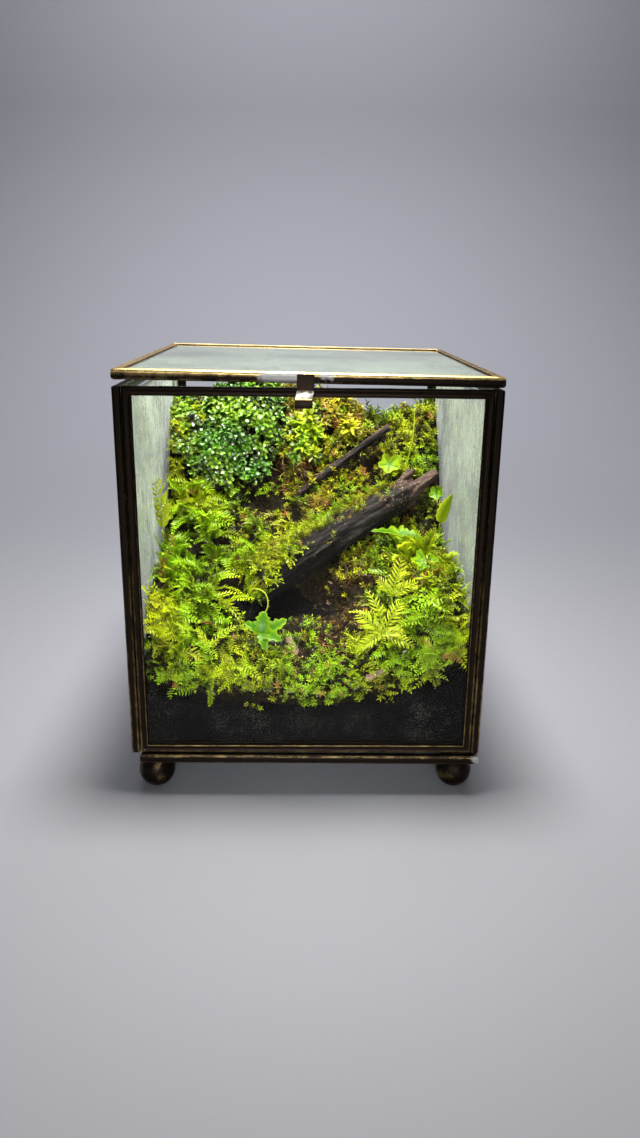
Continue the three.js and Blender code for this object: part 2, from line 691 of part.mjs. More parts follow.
// The part of an outline that lies nearer to one middle than to another, less half a gap
function nearerPart(outline, own, other) {
  const away = new THREE.Vector2(other[0] - own[0], other[1] - own[1]);
  const limit = away.length() / 2 - clearance / 2;
  away.normalize();
  const beyond = ([x, y]) => (x - own[0]) * away.x + (y - own[1]) * away.y - limit;
  const kept = [];
  outline.forEach((p, i) => {
    const q = outline[(i + 1) % outline.length];
    const [dp, dq] = [beyond(p), beyond(q)];
    if (dp <= 0) kept.push(p);
    if (dp * dq < 0) {
      const t = dp / (dp - dq);
      kept.push([p[0] + t * (q[0] - p[0]), p[1] + t * (q[1] - p[1])]);
    }
  });
  return kept;
}

// An upright prism over a patch's own ground, its edges waved so that patches interlock
function patchPrism(patch) {
  const w = plantHalfWidth;
  let outline = [[-w, plantFront], [w, plantFront], [w, plantBack], [-w, plantBack]];
  for (const other of mossPatches) {
    if (other !== patch) outline = nearerPart(outline, patch.middle, other.middle);
  }
  const depth = plantBack - plantFront;
  const middle = (plantBack + plantFront) / 2;
  const inside = (x, y) => (1 - (x / w) ** 4) * (1 - ((2 * (y - middle)) / depth) ** 4);
  const waved = [];
  outline.forEach((p, i) => {
    const q = outline[(i + 1) % outline.length];
    const steps = Math.max(1, Math.round(Math.hypot(q[0] - p[0], q[1] - p[1]) / 4));
    for (let k = 0; k < steps; k += 1) {
      const x = p[0] + ((q[0] - p[0]) * k) / steps;
      const y = p[1] + ((q[1] - p[1]) * k) / steps;
      const bend = inside(x, y);
      waved.push(new THREE.Vector2(x + bend * Math.sin(0.25 * y), y + bend * Math.sin(0.25 * x + 1)));
    }
  });
  return manifoldOf(new THREE.ExtrudeGeometry(new THREE.Shape(waved), { depth: 130, bevelEnabled: false }));
}

// One sprig, rooted under the moss's skin at x, y and leaning out of the slope
function sprig(kind, x, y, size, random) {
  const normal = surfaceNormal(x, y);
  const lean = vec(random() - 0.5, random() - 0.8, random() - 0.1).multiplyScalar(0.9);
  const out = normal.clone().add(lean).normalize();
  const root = vec(x, y, mossZ(x, y)).addScaledVector(out, -1.8);
  const tip = root.clone().addScaledVector(out, size + 1.8);
  if (kind === "needle") return [spike(root, tip, 0.8)];
  if (kind === "spray") {
    const middle = root.clone().lerp(tip, 0.55).addScaledVector(normal, 0.8);
    tip.z -= 1.2;
    return [feather([root.toArray(), middle.toArray(), tip.toArray()],
      { face: normal.toArray(), reach: 1.3, pairs: 3, thickness: 0.8, droop: 0.2 })];
  }
  const blades = 4;
  const heart = root.clone().addScaledVector(out, 2.6);
  const side = out.clone().cross(vec(0.3, 0.2, 0.9)).normalize();
  const parts = [spike(root, heart.clone().addScaledVector(out, 1.6), 0.9)];
  for (let k = 0; k < blades; k += 1) {
    const spoke = side.clone().applyAxisAngle(out, (2 * Math.PI * (k + 0.4 * random())) / blades);
    const end = heart.clone().addScaledVector(spoke, 0.75 * size).addScaledVector(out, 0.45 * size);
    const flat = out.clone().cross(spoke).normalize();
    parts.push(smallBlade(heart.clone().addScaledVector(spoke, 0.1), end, flat, 1.5, 0.8));
  }
  return parts;
}

// Everything that stands clear of the moss, with a clearance all round
const clearOfMoss = [
  driftLog(clearance),
  twig(clearance),
  ...[...fronds, ...leaves].map((plant) => plantSolids(plant, clearance)),
  tendril(clearance),
  rootlet(clearance),
  ...chips.map((flake) => chip(flake, clearance)),
].reduce((whole, next) => whole.add(next));

const mossFloor = (x, y) => soilZ(x, y + mossSeat) + mossSeat;
const mossLayer = manifoldOf(bank(mossZ, 20, 24, -20))
  .subtract(manifoldOf(bank(mossFloor, 11, 14, -25)))
  .subtract(clearOfMoss);

const soilBody = manifoldOf(bank(soilZ, 11, 14, 0)).subtract(clearOfMoss);

// The patches' solids, in order. A sprig that would reach a neighbour, a plant, the wood or
// the glass is left out and another place is tried.
function growMoss() {
  const bases = mossPatches.map((patch) => mossLayer.intersect(patchPrism(patch)));
  const grown = [];
  const random = seededRandom(20);
  mossPatches.forEach((patch, own) => {
    let body = bases[own];
    const allowed = nearCorners(geometryOf(body));
    const others = [clearOfMoss, soilBody, ...bases.filter((_, i) => i > own), ...grown];
    const roots = [];
    const spacing = patch.kind === "needle" ? 2 : 1.6 * patch.size;
    for (let tries = 0; roots.length < patch.count && tries < 30 * patch.count; tries += 1) {
      const x = patch.middle[0] + 44 * (random() - 0.5);
      const y = patch.middle[1] + 46 * (random() - 0.5);
      const distanceTo = ({ middle }) => Math.hypot(x - middle[0], y - middle[1]);
      const owner = mossPatches.reduce((best, next) => (
        distanceTo(next) < distanceTo(best) ? next : best));
      const fits = Math.abs(x) < plantHalfWidth - 1 && y > plantFront + 0.8 && y < plantBack - 1;
      // More of them on the steep parts, where there is more ground to cover
      if (random() > 0.4 / surfaceNormal(x, y).z) continue;
      const place = vec(x, y, mossZ(x, y));
      if (owner !== patch || !fits || roots.some((other) => other.distanceTo(place) < spacing)) continue;
      const shoot = joined(sprig(patch.kind, x, y, patch.size * (0.75 + 0.5 * random()), random));
      const box = shoot.boundingBox();
      const within = box.min[0] > -plantHalfWidth && box.max[0] < plantHalfWidth
        && box.min[1] > plantFront && box.max[1] < plantBack && box.max[2] < wallHeight - 1;
      if (!within || others.some((other) => !shoot.intersect(other).isEmpty())) continue;
      if (shoot.intersect(body).isEmpty()) continue;
      const grownBody = body.add(shoot);
      if (nearCorners(geometryOf(grownBody)) > allowed) continue;
      body = grownBody;
      roots.push(place);
    }
    grown.push(body);
  });
  return grown;
}

// Materials
function material(color, roughness, metalness = 0) {
  return new THREE.MeshStandardMaterial({ color, roughness, metalness });
}

const brass = material(0x6b5630, 0.42, 1);
const glass = material(0xdfe8e2, 0.05);
glass.transparent = true;
glass.opacity = 0.3;
const soilMaterial = material(0x14120f, 0.95);
const woodMaterial = material(0x33261c, 0.9);
const frondMaterial = material(0xa8b820, 0.6);
const leafMaterial = material(0x6fbf22, 0.5);
const stemMaterial = material(0x8fa52a, 0.6);
const litterMaterial = material(0x8c7656, 0.9);

// Assembly
const model = new THREE.Group();
const box = new THREE.Group();
const lid = new THREE.Group();
model.add(box);
box.add(lid);

function piece(name, geometry, finish, parent = box) {
  const mesh = new THREE.Mesh(geometry, finish);
  mesh.name = name;
  parent.add(mesh);
  return mesh;
}

// The four walls: each a frame and its pane, standing at the same place
const walls = [
  { name: "front", width: innerWidth, x: 0, y: 0, turn: 0 },
  { name: "back", width: innerWidth, x: 0, y: boxDepth - wallThickness, turn: 0 },
  { name: "left", width: boxDepth, x: -boxWidth / 2 + wallThickness, y: boxDepth / 2, turn: Math.PI / 2 },
  { name: "right", width: boxDepth, x: boxWidth / 2, y: boxDepth / 2, turn: Math.PI / 2 },
];
for (const { name, width, x, y, turn } of walls) {
  const pieces = [
    piece(`frame_${name}`, channelRing(width, wallHeight, wallThickness), brass),
    piece(`pane_${name}`, pane(width, wallHeight, wallThickness), glass),
  ];
  for (const mesh of pieces) {
    mesh.position.set(x, y, wallHeight / 2);
    mesh.rotation.z = turn;
  }
}

piece("frame_base", baseRing(), brass);
const basePane = piece("pane_base", pane(innerWidth, boxDepth, baseThickness), glass);
basePane.rotation.x = Math.PI / 2;
basePane.position.set(0, boxDepth / 2, floorZ);

for (const [side, x] of [["left", -1], ["right", 1]]) {
  for (const [end, y] of [["front", footInset], ["back", boxDepth - footInset]]) {
    const foot = piece(`foot_${end}_${side}`, ballFoot(), brass);
    foot.position.set(x * (boxWidth / 2 - footInset), y, floorZ - footRadius + footTopCut);
  }
}

// The lid lies a little askew, higher at the left
lid.rotation.y = lidTilt;
lid.position.set(0, 0, lidBottom);
const lidWidth = boxWidth - 2 * lidSideGap;
for (const mesh of [
  piece("lid_frame", channelRing(lidWidth, boxDepth, lidThickness), brass, lid),
  piece("lid_pane", pane(lidWidth, boxDepth, lidThickness), glass, lid),
]) {
  mesh.rotation.x = Math.PI / 2;
  mesh.position.set(0, boxDepth / 2, 0);
}
piece("lid_tab", thumbTab(), brass);
piece("hinge_lid_leaf", lidLeaf(), brass);
piece("hinge_case_leaf", caseLeaf(), brass);
piece("hinge_pin", hingePin(), brass);

// The planting
piece("soil", geometryOf(soilBody), soilMaterial);
piece("driftwood_log", geometryOf(driftLog(0)), woodMaterial);
piece("driftwood_twig", geometryOf(twig(0)), woodMaterial);
growMoss().forEach((body, i) => {
  piece(mossPatches[i].name, geometryOf(body), material(mossPatches[i].colour, 0.85));
});
for (const plant of fronds) {
  piece(plant.name, geometryOf(plantSolids(plant, 0)), frondMaterial);
}
for (const plant of leaves) {
  piece(plant.name, geometryOf(plantSolids(plant, 0)), leafMaterial);
}
piece("stem_upright", geometryOf(tendril(0)), stemMaterial);
piece("rootlet_curled", geometryOf(rootlet(0)), litterMaterial);
for (const flake of chips) {
  piece(flake.name, geometryOf(chip(flake, 0)), litterMaterial);
}

// Feet on Z = 0, outline centred in Y between the tab's nose and the hinge's knuckles
const outlineMiddle = (hingeY + knuckleRadius - tabReach) / 2;
box.position.set(0, -outlineMiddle, footHeight - floorZ);

export default model;
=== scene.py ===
"""Dresses a small planted glass box: brass channel, glass, soil, moss, ferny fronds, leaves and driftwood."""
import functools
import math
import random

import bmesh
import bpy
import numpy as np
from mathutils import Matrix, Vector, noise
from mathutils.bvhtree import BVHTree


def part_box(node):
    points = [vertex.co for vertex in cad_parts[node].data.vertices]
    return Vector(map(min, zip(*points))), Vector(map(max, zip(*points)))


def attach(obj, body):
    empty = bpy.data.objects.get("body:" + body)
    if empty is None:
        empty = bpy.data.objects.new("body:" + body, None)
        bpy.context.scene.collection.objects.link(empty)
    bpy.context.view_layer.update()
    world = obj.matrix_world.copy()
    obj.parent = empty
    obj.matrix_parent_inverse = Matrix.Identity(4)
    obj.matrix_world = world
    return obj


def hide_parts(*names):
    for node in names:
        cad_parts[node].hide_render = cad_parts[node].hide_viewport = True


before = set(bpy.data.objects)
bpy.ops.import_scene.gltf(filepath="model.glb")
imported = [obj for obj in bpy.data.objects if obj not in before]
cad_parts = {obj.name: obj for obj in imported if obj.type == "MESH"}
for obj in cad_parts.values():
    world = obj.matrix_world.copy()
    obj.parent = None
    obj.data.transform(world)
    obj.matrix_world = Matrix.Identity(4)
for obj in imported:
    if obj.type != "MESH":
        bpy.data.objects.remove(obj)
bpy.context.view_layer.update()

bl_info = {
    "name": "Planted glass box",
    "version": (1, 0, 0),
    "blender": (4, 5, 0),
    "location": "View3D > Sidebar > Planted box",
    "description": "Builds the brass, glass, moss, plants and driftwood of a small planted glass box",
    "category": "Add Mesh",
}

MM = 0.001
CASE_BODY = "case"
LID_BODY = "lid"

# Places are given in millimetres from the middle of the front wall's lower edge
FRONT_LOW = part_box("frame_front")[0]
ORIGIN = Vector((0.0, FRONT_LOW.y, FRONT_LOW.z))

# The soil's lowest and highest corners
SOIL_LOW, SOIL_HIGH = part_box("soil")

# Directions of the slope: up along it, and out of it
SLOPE_UP = Vector((0.0, math.sqrt(0.5), math.sqrt(0.5)))
SLOPE_OUT = Vector((0.0, -math.sqrt(0.5), math.sqrt(0.5)))

# The log's and the twig's centre lines, each from its buried end
LOG_START = (-15.5, 31.0, 41.0)
LOG_END = (34.0, 65.0, 62.5)
TWIG_START = (-4.5, 66.0, 59.5)
TWIG_END = (28.1, 76.5, 82.8)


def place(x, y, z):
    """A point in the CAD's frame, in metres, from millimetres in the box's own."""
    return ORIGIN + Vector((x, y, z)) * MM


# Settings

def colour_property(name, description, default):
    """A colour that a user may change, linear and without alpha."""
    return bpy.props.FloatVectorProperty(
        name=name, description=description, subtype="COLOR", size=3, min=0.0, max=1.0, default=default)


def number_property(name, description, default, unit="LENGTH"):
    """A length or a power that a user may change."""
    return bpy.props.FloatProperty(name=name, description=description, default=default, unit=unit)


class BrassSettings(bpy.types.PropertyGroup):
    """The folded channel's shape and finish."""
    lip: number_property("Rolled lip", "How far the channel's rolled lips stand proud of its face", 0.00016)
    ripple: number_property("Ripple", "How far the hand-folded channel waves", 0.00005)
    patina: colour_property("Patina", "The dark of the antique finish", (0.016, 0.011, 0.008))
    # Gold also paints the highlight along the lips and on the lid's top.
    gold: colour_property("Gold", "The brass where it is rubbed bright", (0.80, 0.56, 0.22))
    solder: colour_property("Solder", "The grey of tinned corners", (0.38, 0.37, 0.34))


class GlassSettings(bpy.types.PropertyGroup):
    """The panes and the damp on them."""
    tint: colour_property("Tint", "The glass's own colour", (0.985, 0.996, 0.988))
    # The damp's green tint is a painted reflection of the moss on the film.
    damp: colour_property("Damp", "The fine condensation", (0.70, 0.90, 0.58))
    droplet: number_property("Droplet", "Radius of a usual droplet", 0.00028)
    droplets: bpy.props.IntProperty(
        name="Droplets", description="Droplets under the lid's glass", default=1500, min=0)


class SoilSettings(bpy.types.PropertyGroup):
    """The black soil."""
    colour: colour_property("Soil", "The damp soil", (0.0035, 0.003, 0.0028))
    dust: colour_property("Dust", "Pale dust and grit", (0.08, 0.077, 0.066))
    crumb: number_property("Crumb", "Depth of the crumbs against the glass", 0.0004)


class MossSettings(bpy.types.PropertyGroup):
    """The moss."""
    density: bpy.props.FloatProperty(
        name="Density", description="Share of the full number of shoots", default=1.0, min=0.05, max=1.5)
    bright: colour_property("Yellow tips", "Young yellow tips of the bright moss", (0.88, 0.94, 0.010))
    fresh: colour_property("Green tips", "Young green tips of the bright moss", (0.42, 0.74, 0.008))
    # Below its tips the bright moss is near black: painted shade among its shoots.
    bright_deep: colour_property("Bright moss", "The bright moss below its tips", (0.012, 0.024, 0.001))
    dark: colour_property("Rosette tips", "The glossy rosette moss", (0.36, 0.62, 0.008))
    dark_fresh: colour_property("Rosette shade", "The rosette moss's darker tips", (0.10, 0.32, 0.005))
    # The rosette moss below its tips: painted shade among its leaves.
    dark_deep: colour_property("Dark moss", "The rosette moss below its tips", (0.008, 0.035, 0.002))
    olive: colour_property("Olive tips", "The olive tufts", (0.52, 0.40, 0.030))
    # The olive tufts below their tips: painted shade among their shoots.
    olive_deep: colour_property("Olive moss", "The olive tufts below their tips", (0.07, 0.055, 0.008))
    dead: colour_property("Dead shoots", "Old brown shoots and litter", (0.30, 0.135, 0.030))
    # On the log's upper edge these flecks also stand for a painted glint.
    pale: colour_property("Pale flakes", "Dry pale flecks among the moss", (0.62, 0.58, 0.42))
    # The mat's near black is the moss's dark old base and painted shade in the gaps between the shoots.
    mat: colour_property("Mat", "The dark mat that the shoots grow from", (0.006, 0.005, 0.002))
    crumbs: colour_property("Crumbs", "The browner crumbs of the mat", (0.030, 0.018, 0.006))


class PlantSettings(bpy.types.PropertyGroup):
    """The fronds and leaves."""
    frond: colour_property("Frond", "The yellow-green fronds", (0.64, 0.67, 0.026))
    frond_fresh: colour_property("Young frond", "The fronds' greener parts", (0.48, 0.64, 0.018))
    frond_deep: colour_property("Frond's foot", "The fronds near their stems", (0.24, 0.32, 0.012))
    leaf: colour_property("Leaf", "The small bright leaves", (0.15, 0.29, 0.004))
    leaf_fresh: colour_property("Leaf's edge", "The leaves' yellower parts", (0.27, 0.42, 0.006))
    leaf_vein: colour_property("Leaf's veins", "The leaves' deeper folds", (0.04, 0.13, 0.003))


class WoodSettings(bpy.types.PropertyGroup):
    """The log, the twig and the litter."""
    bark: colour_property("Bark", "The wet dark bark", (0.004, 0.003, 0.002))
    # Ridges also paint the highlight on the wood's upward faces.
    ridge: colour_property("Ridges", "The bark's drier ridges", (0.026, 0.016, 0.012))
    broken: colour_property("Broken wood", "The pinkish wood where it has broken", (0.13, 0.078, 0.062))
    litter: colour_property("Litter", "Dry pale litter", (0.34, 0.22, 0.12))
    relief: number_property("Relief", "Depth of the bark's ridges", 0.0008)


class StageSettings(bpy.types.PropertyGroup):
    """The floor and the light."""
    floor: colour_property("Floor", "The plain pale floor", (0.235, 0.235, 0.257))
    overhead: number_property("Overhead light", "Power of the soft light above", 1.3, "POWER")
    backdrop: number_property("Backdrop light", "Power of the wide light behind", 7.2, "POWER")
    fill: number_property("Fill light", "Power of the soft light in front", 0.055, "POWER")


class BoxSettings(bpy.types.PropertyGroup):
    """All the settings of the planted box."""
    brass: bpy.props.PointerProperty(type=BrassSettings)
    glass: bpy.props.PointerProperty(type=GlassSettings)
    soil: bpy.props.PointerProperty(type=SoilSettings)
    moss: bpy.props.PointerProperty(type=MossSettings)
    plant: bpy.props.PointerProperty(type=PlantSettings)
    wood: bpy.props.PointerProperty(type=WoodSettings)
    stage: bpy.props.PointerProperty(type=StageSettings)


def settings():
    return bpy.context.scene.planted_box


# Meshes

def coat(mesh, material):
    mesh.materials.clear()
    mesh.materials.append(material)


def link_piece(name, mesh, material=None):
    """A new object holding the mesh, in the scene."""
    piece = bpy.data.objects.new(name, mesh)
    bpy.context.scene.collection.objects.link(piece)
    if material is not None:
        coat(mesh, material)
    return piece


def store(mesh, numbers):
    """Keeps named numbers on a mesh's corners."""
    for key, values in numbers.items():
        attribute = mesh.attributes.new(key, "FLOAT", "POINT")
        attribute.data.foreach_set("value", np.asarray(values, np.float32))


def mesh_of(name, points, faces, numbers=None):
    """A mesh in metres, with named numbers on its corners."""
    mesh = bpy.data.meshes.new(name)
    mesh.from_pydata([tuple(p) for p in points], [], faces)
    store(mesh, numbers or {})
    mesh.update()
    return mesh


def tube_faces(rows, sides, ring=False):
    """Faces between rows of corners that go round; in a ring the last row meets the first."""
    return [(r * sides + k, r * sides + (k + 1) % sides,
             (r + 1) % rows * sides + (k + 1) % sides, (r + 1) % rows * sides + k)
            for r in range(rows if ring else rows - 1) for k in range(sides)]


def face_out(mesh):
    """Turns a closed mesh's faces outwards."""
    shape = bmesh.new()
    shape.from_mesh(mesh)
    bmesh.ops.recalc_face_normals(shape, faces=shape.faces)
    shape.to_mesh(mesh)
    shape.free()


def vectors_of(items, key):
    """One vector of each item, as an array."""
    values = np.zeros(len(items) * 3, np.float32)
    items.foreach_get(key, values)
    return values.reshape(-1, 3).astype(float)


def corners_of(mesh):
    return vectors_of(mesh.vertices, "co")


def move_corners(mesh, places):
    mesh.vertices.foreach_set("co", np.asarray(places, np.float32).ravel())
    mesh.update()


def corner_normals(mesh):
    return vectors_of(mesh.vertex_normals, "vector")


def merged_copy(node, name):
    """A copy of a CAD node's mesh with its loose triangles joined."""
    shape = bmesh.new()
    shape.from_mesh(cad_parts[node].data)
    bmesh.ops.remove_doubles(shape, verts=shape.verts, dist=1e-7)
    mesh = bpy.data.meshes.new(name)
    shape.to_mesh(mesh)
    shape.free()
    return mesh


def applied(piece):
    """The piece with its modifiers worked into its mesh and removed."""
    graph = bpy.context.evaluated_depsgraph_get()
    mesh = bpy.data.meshes.new_from_object(piece.evaluated_get(graph))
    piece.modifiers.clear()
    piece.data = mesh
    return piece


def remeshed(node, name, voxel, smoothing):
    """An even skin over a CAD node's mesh, its facets smoothed away."""
    piece = link_piece(name, merged_copy(node, name))
    skin = piece.modifiers.new("Skin", "REMESH")
    skin.mode = "VOXEL"
    skin.voxel_size = voxel
    ease = piece.modifiers.new("Ease", "SMOOTH")
    ease.factor = 0.5
    ease.iterations = smoothing
    return applied(piece)


def smooth_with_creases(mesh, degrees):
    mesh.shade_smooth()
    mesh.set_sharp_from_angle(angle=math.radians(degrees))


def finish_piece(piece, body, slot, *nodes):
    """Says what the piece rides on and hides the CAD nodes that it stands for; slot, its finish, is not used.
    """
    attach(piece, body)
    if nodes:
        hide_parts(*nodes)
    return piece


# Node trees

def add_node(tree, kind, inputs=None, **choices):
    """A node with its choices made and its inputs linked or set, by name or by place."""
    node = tree.nodes.new(kind)
    for key, value in choices.items():
        setattr(node, key, value)
    for key, value in (inputs or {}).items():
        if isinstance(key, int):
            socket = node.inputs[key]
        else:
            socket = next(s for s in node.inputs if s.name == key and s.enabled)
        if isinstance(value, bpy.types.NodeSocket):
            tree.links.new(value, socket)
        else:
            socket.default_value = value
    return node


def output(node, name=None):
    """The node's first output in use, or the one with that name."""
    return next(s for s in node.outputs if s.enabled and name in (None, s.name))


def made(tree, kind, inputs=None, out=None, **choices):
    """A new node's first output in use, or the one named out."""
    return output(add_node(tree, kind, inputs, **choices), out)


def stored(tree, name):
    """A number kept on the mesh's corners."""
    return made(tree, "ShaderNodeAttribute", out="Fac", attribute_name=name)


def on_piece(tree):
    """Coordinates fixed to the piece."""
    return made(tree, "ShaderNodeTexCoord", out="Object")


def maths(tree, operation, *values):
    return made(tree, "ShaderNodeMath", dict(enumerate(values)), operation=operation)


def plus(tree, *values):
    return maths(tree, "ADD", *values)


def times(tree, *values):
    return maths(tree, "MULTIPLY", *values)


def vector_maths(tree, operation, inputs):
    return made(tree, "ShaderNodeVectorMath", inputs, operation=operation)


def between(tree, value, low, high, start=0.0, end=1.0):
    """value's place from low to high, as a number from start to end."""
    return made(tree, "ShaderNodeMapRange", {
        "Value": value, "From Min": low, "From Max": high, "To Min": start, "To Max": end})


def rgba(colour):
    return (*colour, 1.0)


def mixed(tree, share, first, second):
    """Two colours mixed by share."""
    return made(tree, "ShaderNodeMix", {"Factor": share, "A": first, "B": second}, data_type="RGBA")


def new_group(name, kind, inputs, outputs):
    """A node group with its sockets, and its input and output nodes."""
    tree = bpy.data.node_groups.new(name, kind)
    for label, socket, default in inputs:
        item = tree.interface.new_socket(label, in_out="INPUT", socket_type="NodeSocket" + socket)
        if default is not None:
            item.default_value = default
    for label, socket in outputs:
        tree.interface.new_socket(label, in_out="OUTPUT", socket_type="NodeSocket" + socket)
    return tree, tree.nodes.new("NodeGroupInput"), tree.nodes.new("NodeGroupOutput")


def end_tree(tree, result, geometry, material):
    """Ends a geometry tree: what it has placed becomes a plain mesh of one material."""
    real = made(tree, "GeometryNodeRealizeInstances", {"Geometry": geometry})
    done = made(tree, "GeometryNodeSetMaterial", {"Geometry": real, "Material": material})
    tree.links.new(done, result.inputs["Geometry"])


def drawn(tree, low, high, seed, step):
    """A number from low to high, drawn for each point; step sets one draw apart from another."""
    return made(tree, "FunctionNodeRandomValue", {
        "Min": low, "Max": high, "Seed": plus(tree, seed, step)}, data_type="FLOAT")


def new_material(name, roughness, **plain):
    """A material with its Principled shader; plain sets the shader's own sockets."""
    material = bpy.data.materials.new(name)
    material.use_nodes = True
    shader = material.node_tree.nodes["Principled BSDF"]
    shader.inputs["Roughness"].default_value = roughness
    for key, value in plain.items():
        shader.inputs[key.replace("_", " ")].default_value = value
    return material, material.node_tree, shader


def bump(tree, shader, height, distance, strength=0.6):
    relief = made(tree, "ShaderNodeBump", {"Height": height, "Distance": distance, "Strength": strength})
    tree.links.new(relief, shader.inputs["Normal"])


def let_light_through(tree, shader, tint=(1.0, 1.0, 1.0, 1.0), diffuse=True):
    """Lets the lamps' light straight through, tinted, and with diffuse the light between surfaces too."""
    clear = made(tree, "ShaderNodeBsdfTransparent", {"Color": tint})
    path = add_node(tree, "ShaderNodeLightPath")
    passing = path.outputs["Is Shadow Ray"]
    if diffuse:
        passing = maths(tree, "MAXIMUM", passing, path.outputs["Is Diffuse Ray"])
    final = made(tree, "ShaderNodeMixShader", {0: passing, 1: output(shader), 2: clear})
    tree.links.new(final, tree.nodes["Material Output"].inputs["Surface"])


def object_noise(tree, scale, detail=3.0, vector=None, roughness=0.5):
    """Noise fixed to the piece, as a number from 0 to 1; scale counts waves in a metre."""
    where = vector or on_piece(tree)
    return made(tree, "ShaderNodeTexNoise", {
        "Vector": where, "Scale": scale, "Detail": detail, "Roughness": roughness}, out="Fac")


# Finishes

def made_once(library, name):
    """Lets a builder make its item under one name; later calls give that item back."""
    return lambda build: lambda: getattr(bpy.data, library).get(name) or build(name)


@made_once("node_groups", "Living green")
def living_group(name):
    """The colour of a shoot: darkest at its foot, a painted shade among the shoots, bright at its tip, some
    shoots old and some patches paler.
    """
    tree, given, result = new_group(name, "ShaderNodeTree", [
        ("Deep", "Color", None), ("Tip", "Color", None), ("Fresh", "Color", None), ("Old", "Color", None),
        ("Old share", "Float", 0.1), ("Patches", "Float", 90.0)],
        [("Color", "Color"), ("Roughness", "Float")])
    tip = stored(tree, "tip")
    shade = stored(tree, "shade")
    patch = object_noise(tree, given.outputs["Patches"], 2.0)
    # Toward a shoot's foot its colour sinks to the shaded foot colour: painted shade among the shoots,
    # besides the paler young tips.
    rise = maths(tree, "POWER", tip, 2.1)
    lit = plus(tree, between(tree, patch, 0.35, 0.65, -0.25, 0.2),
               between(tree, shade, 0.0, 1.0, -0.42, 0.34))
    growing = plus(tree, rise, times(tree, lit, tip))
    growing = between(tree, growing, 0.0, 1.0)
    drift = object_noise(tree, times(tree, given.outputs["Patches"], 0.63), 1.0)
    hue = plus(tree, between(tree, drift, 0.38, 0.62), between(tree, shade, 0.0, 1.0, -0.35, 0.35))
    tips = mixed(tree, between(tree, hue, 0.0, 1.0), given.outputs["Tip"], given.outputs["Fresh"])
    living = mixed(tree, growing, given.outputs["Deep"], tips)
    limit = given.outputs["Old share"]
    aged = between(tree, shade, limit, times(tree, limit, 0.7))
    tree.links.new(mixed(tree, aged, living, given.outputs["Old"]), result.inputs["Color"])
    tree.links.new(between(tree, patch, 0.3, 0.7, 0.34, 0.55), result.inputs["Roughness"])
    return tree


def living_material(name, deep, tip, fresh, old, old_share, patches, gloss, see_through=0.0):
    """A material for shoots, needles and fronds."""
    material, tree, shader = new_material(
        name, 0.5, Coat_Roughness=0.2, Coat_Weight=gloss, Specular_IOR_Level=0.1 + gloss,
        Subsurface_Weight=see_through, Subsurface_Radius=(0.7, 1.0, 0.1), Subsurface_Scale=MM)
    living = add_node(tree, "ShaderNodeGroup", node_tree=living_group())
    for key, value in {"Deep": rgba(deep), "Tip": rgba(tip), "Fresh": rgba(fresh), "Old": rgba(old),
                       "Old share": old_share, "Patches": patches}.items():
        living.inputs[key].default_value = value
    tree.links.new(living.outputs["Color"], shader.inputs["Base Color"])
    tree.links.new(living.outputs["Roughness"], shader.inputs["Roughness"])
    return material


@made_once("materials", "Antique brass")
def brass_material(name):
    """Antique brass: dark in its folds, gold on its lips as rubbed wear and painted highlight, grey with
    solder at its corners.
    """
    look = settings().brass
    material, tree, shader = new_material(name, 0.35, Metallic=1.0)
    edge = stored(tree, "edge")
    tinned = stored(tree, "solder")
    blotch = object_noise(tree, 260.0, 4.0, roughness=0.65)
    fine = object_noise(tree, 1900.0, 3.0)
    # The edge mask turns the brass gold: rubbed wear and painted highlight.
    worn_and_lit = times(tree, edge, between(tree, blotch, 0.3, 0.7, 0.55, 1.25))
    worn_and_lit = between(tree, plus(tree, worn_and_lit, between(tree, fine, 0.2, 0.8, -0.07, 0.07)), 0.2, 1.0)
    metal = mixed(tree, worn_and_lit, rgba(look.patina), rgba(look.gold))
    grey = between(tree, plus(tree, tinned, between(tree, blotch, 0.3, 0.7, -0.25, 0.25)), 0.35, 0.6)
    tree.links.new(mixed(tree, grey, metal, rgba(look.solder)), shader.inputs["Base Color"])
    dull = plus(tree, between(tree, worn_and_lit, 0.0, 1.0, 0.46, 0.27), between(tree, fine, 0.2, 0.8, -0.05, 0.08))
    tree.links.new(plus(tree, dull, times(tree, grey, 0.08)), shader.inputs["Roughness"])
    bump(tree, shader, plus(tree, blotch, times(tree, fine, 0.35)), 0.00008)
    return material


def glass_material(name, bend, damp=0.0):
    """Sheet glass that lets the light through to the planting, blurred in streaks where it is damp."""
    material, tree, shader = new_material(name, 0.015, IOR=bend, Transmission_Weight=1.0)
    shader.inputs["Base Color"].default_value = rgba(settings().glass.tint)
    if damp:
        where = on_piece(tree)
        stretched = made(tree, "ShaderNodeMapping", {"Vector": where, "Scale": (1.0, 1.0, 0.16)})
        streak = object_noise(tree, 620.0, 3.0, stretched, 0.6)
        patch = object_noise(tree, 70.0, 2.0, where)
        film = plus(tree, streak, times(tree, patch, 0.5))
        tree.links.new(between(tree, film, 0.66, 0.9, 0.03, damp), shader.inputs["Roughness"])
        bump(tree, shader, streak, 0.00004, 0.5)
    slant = made(tree, "ShaderNodeFresnel", {"IOR": 1.5})
    passed = mixed(tree, between(tree, slant, 0.04, 0.35), (1.0, 1.0, 1.0, 1.0), (0.12, 0.12, 0.12, 1.0))
    let_light_through(tree, shader, passed)
    return material


# Metal and glass pieces

# The channel's face and the thickness of its sheet
CHANNEL_FACE = 2.3 * MM
CHANNEL_SKIN = 0.3 * MM


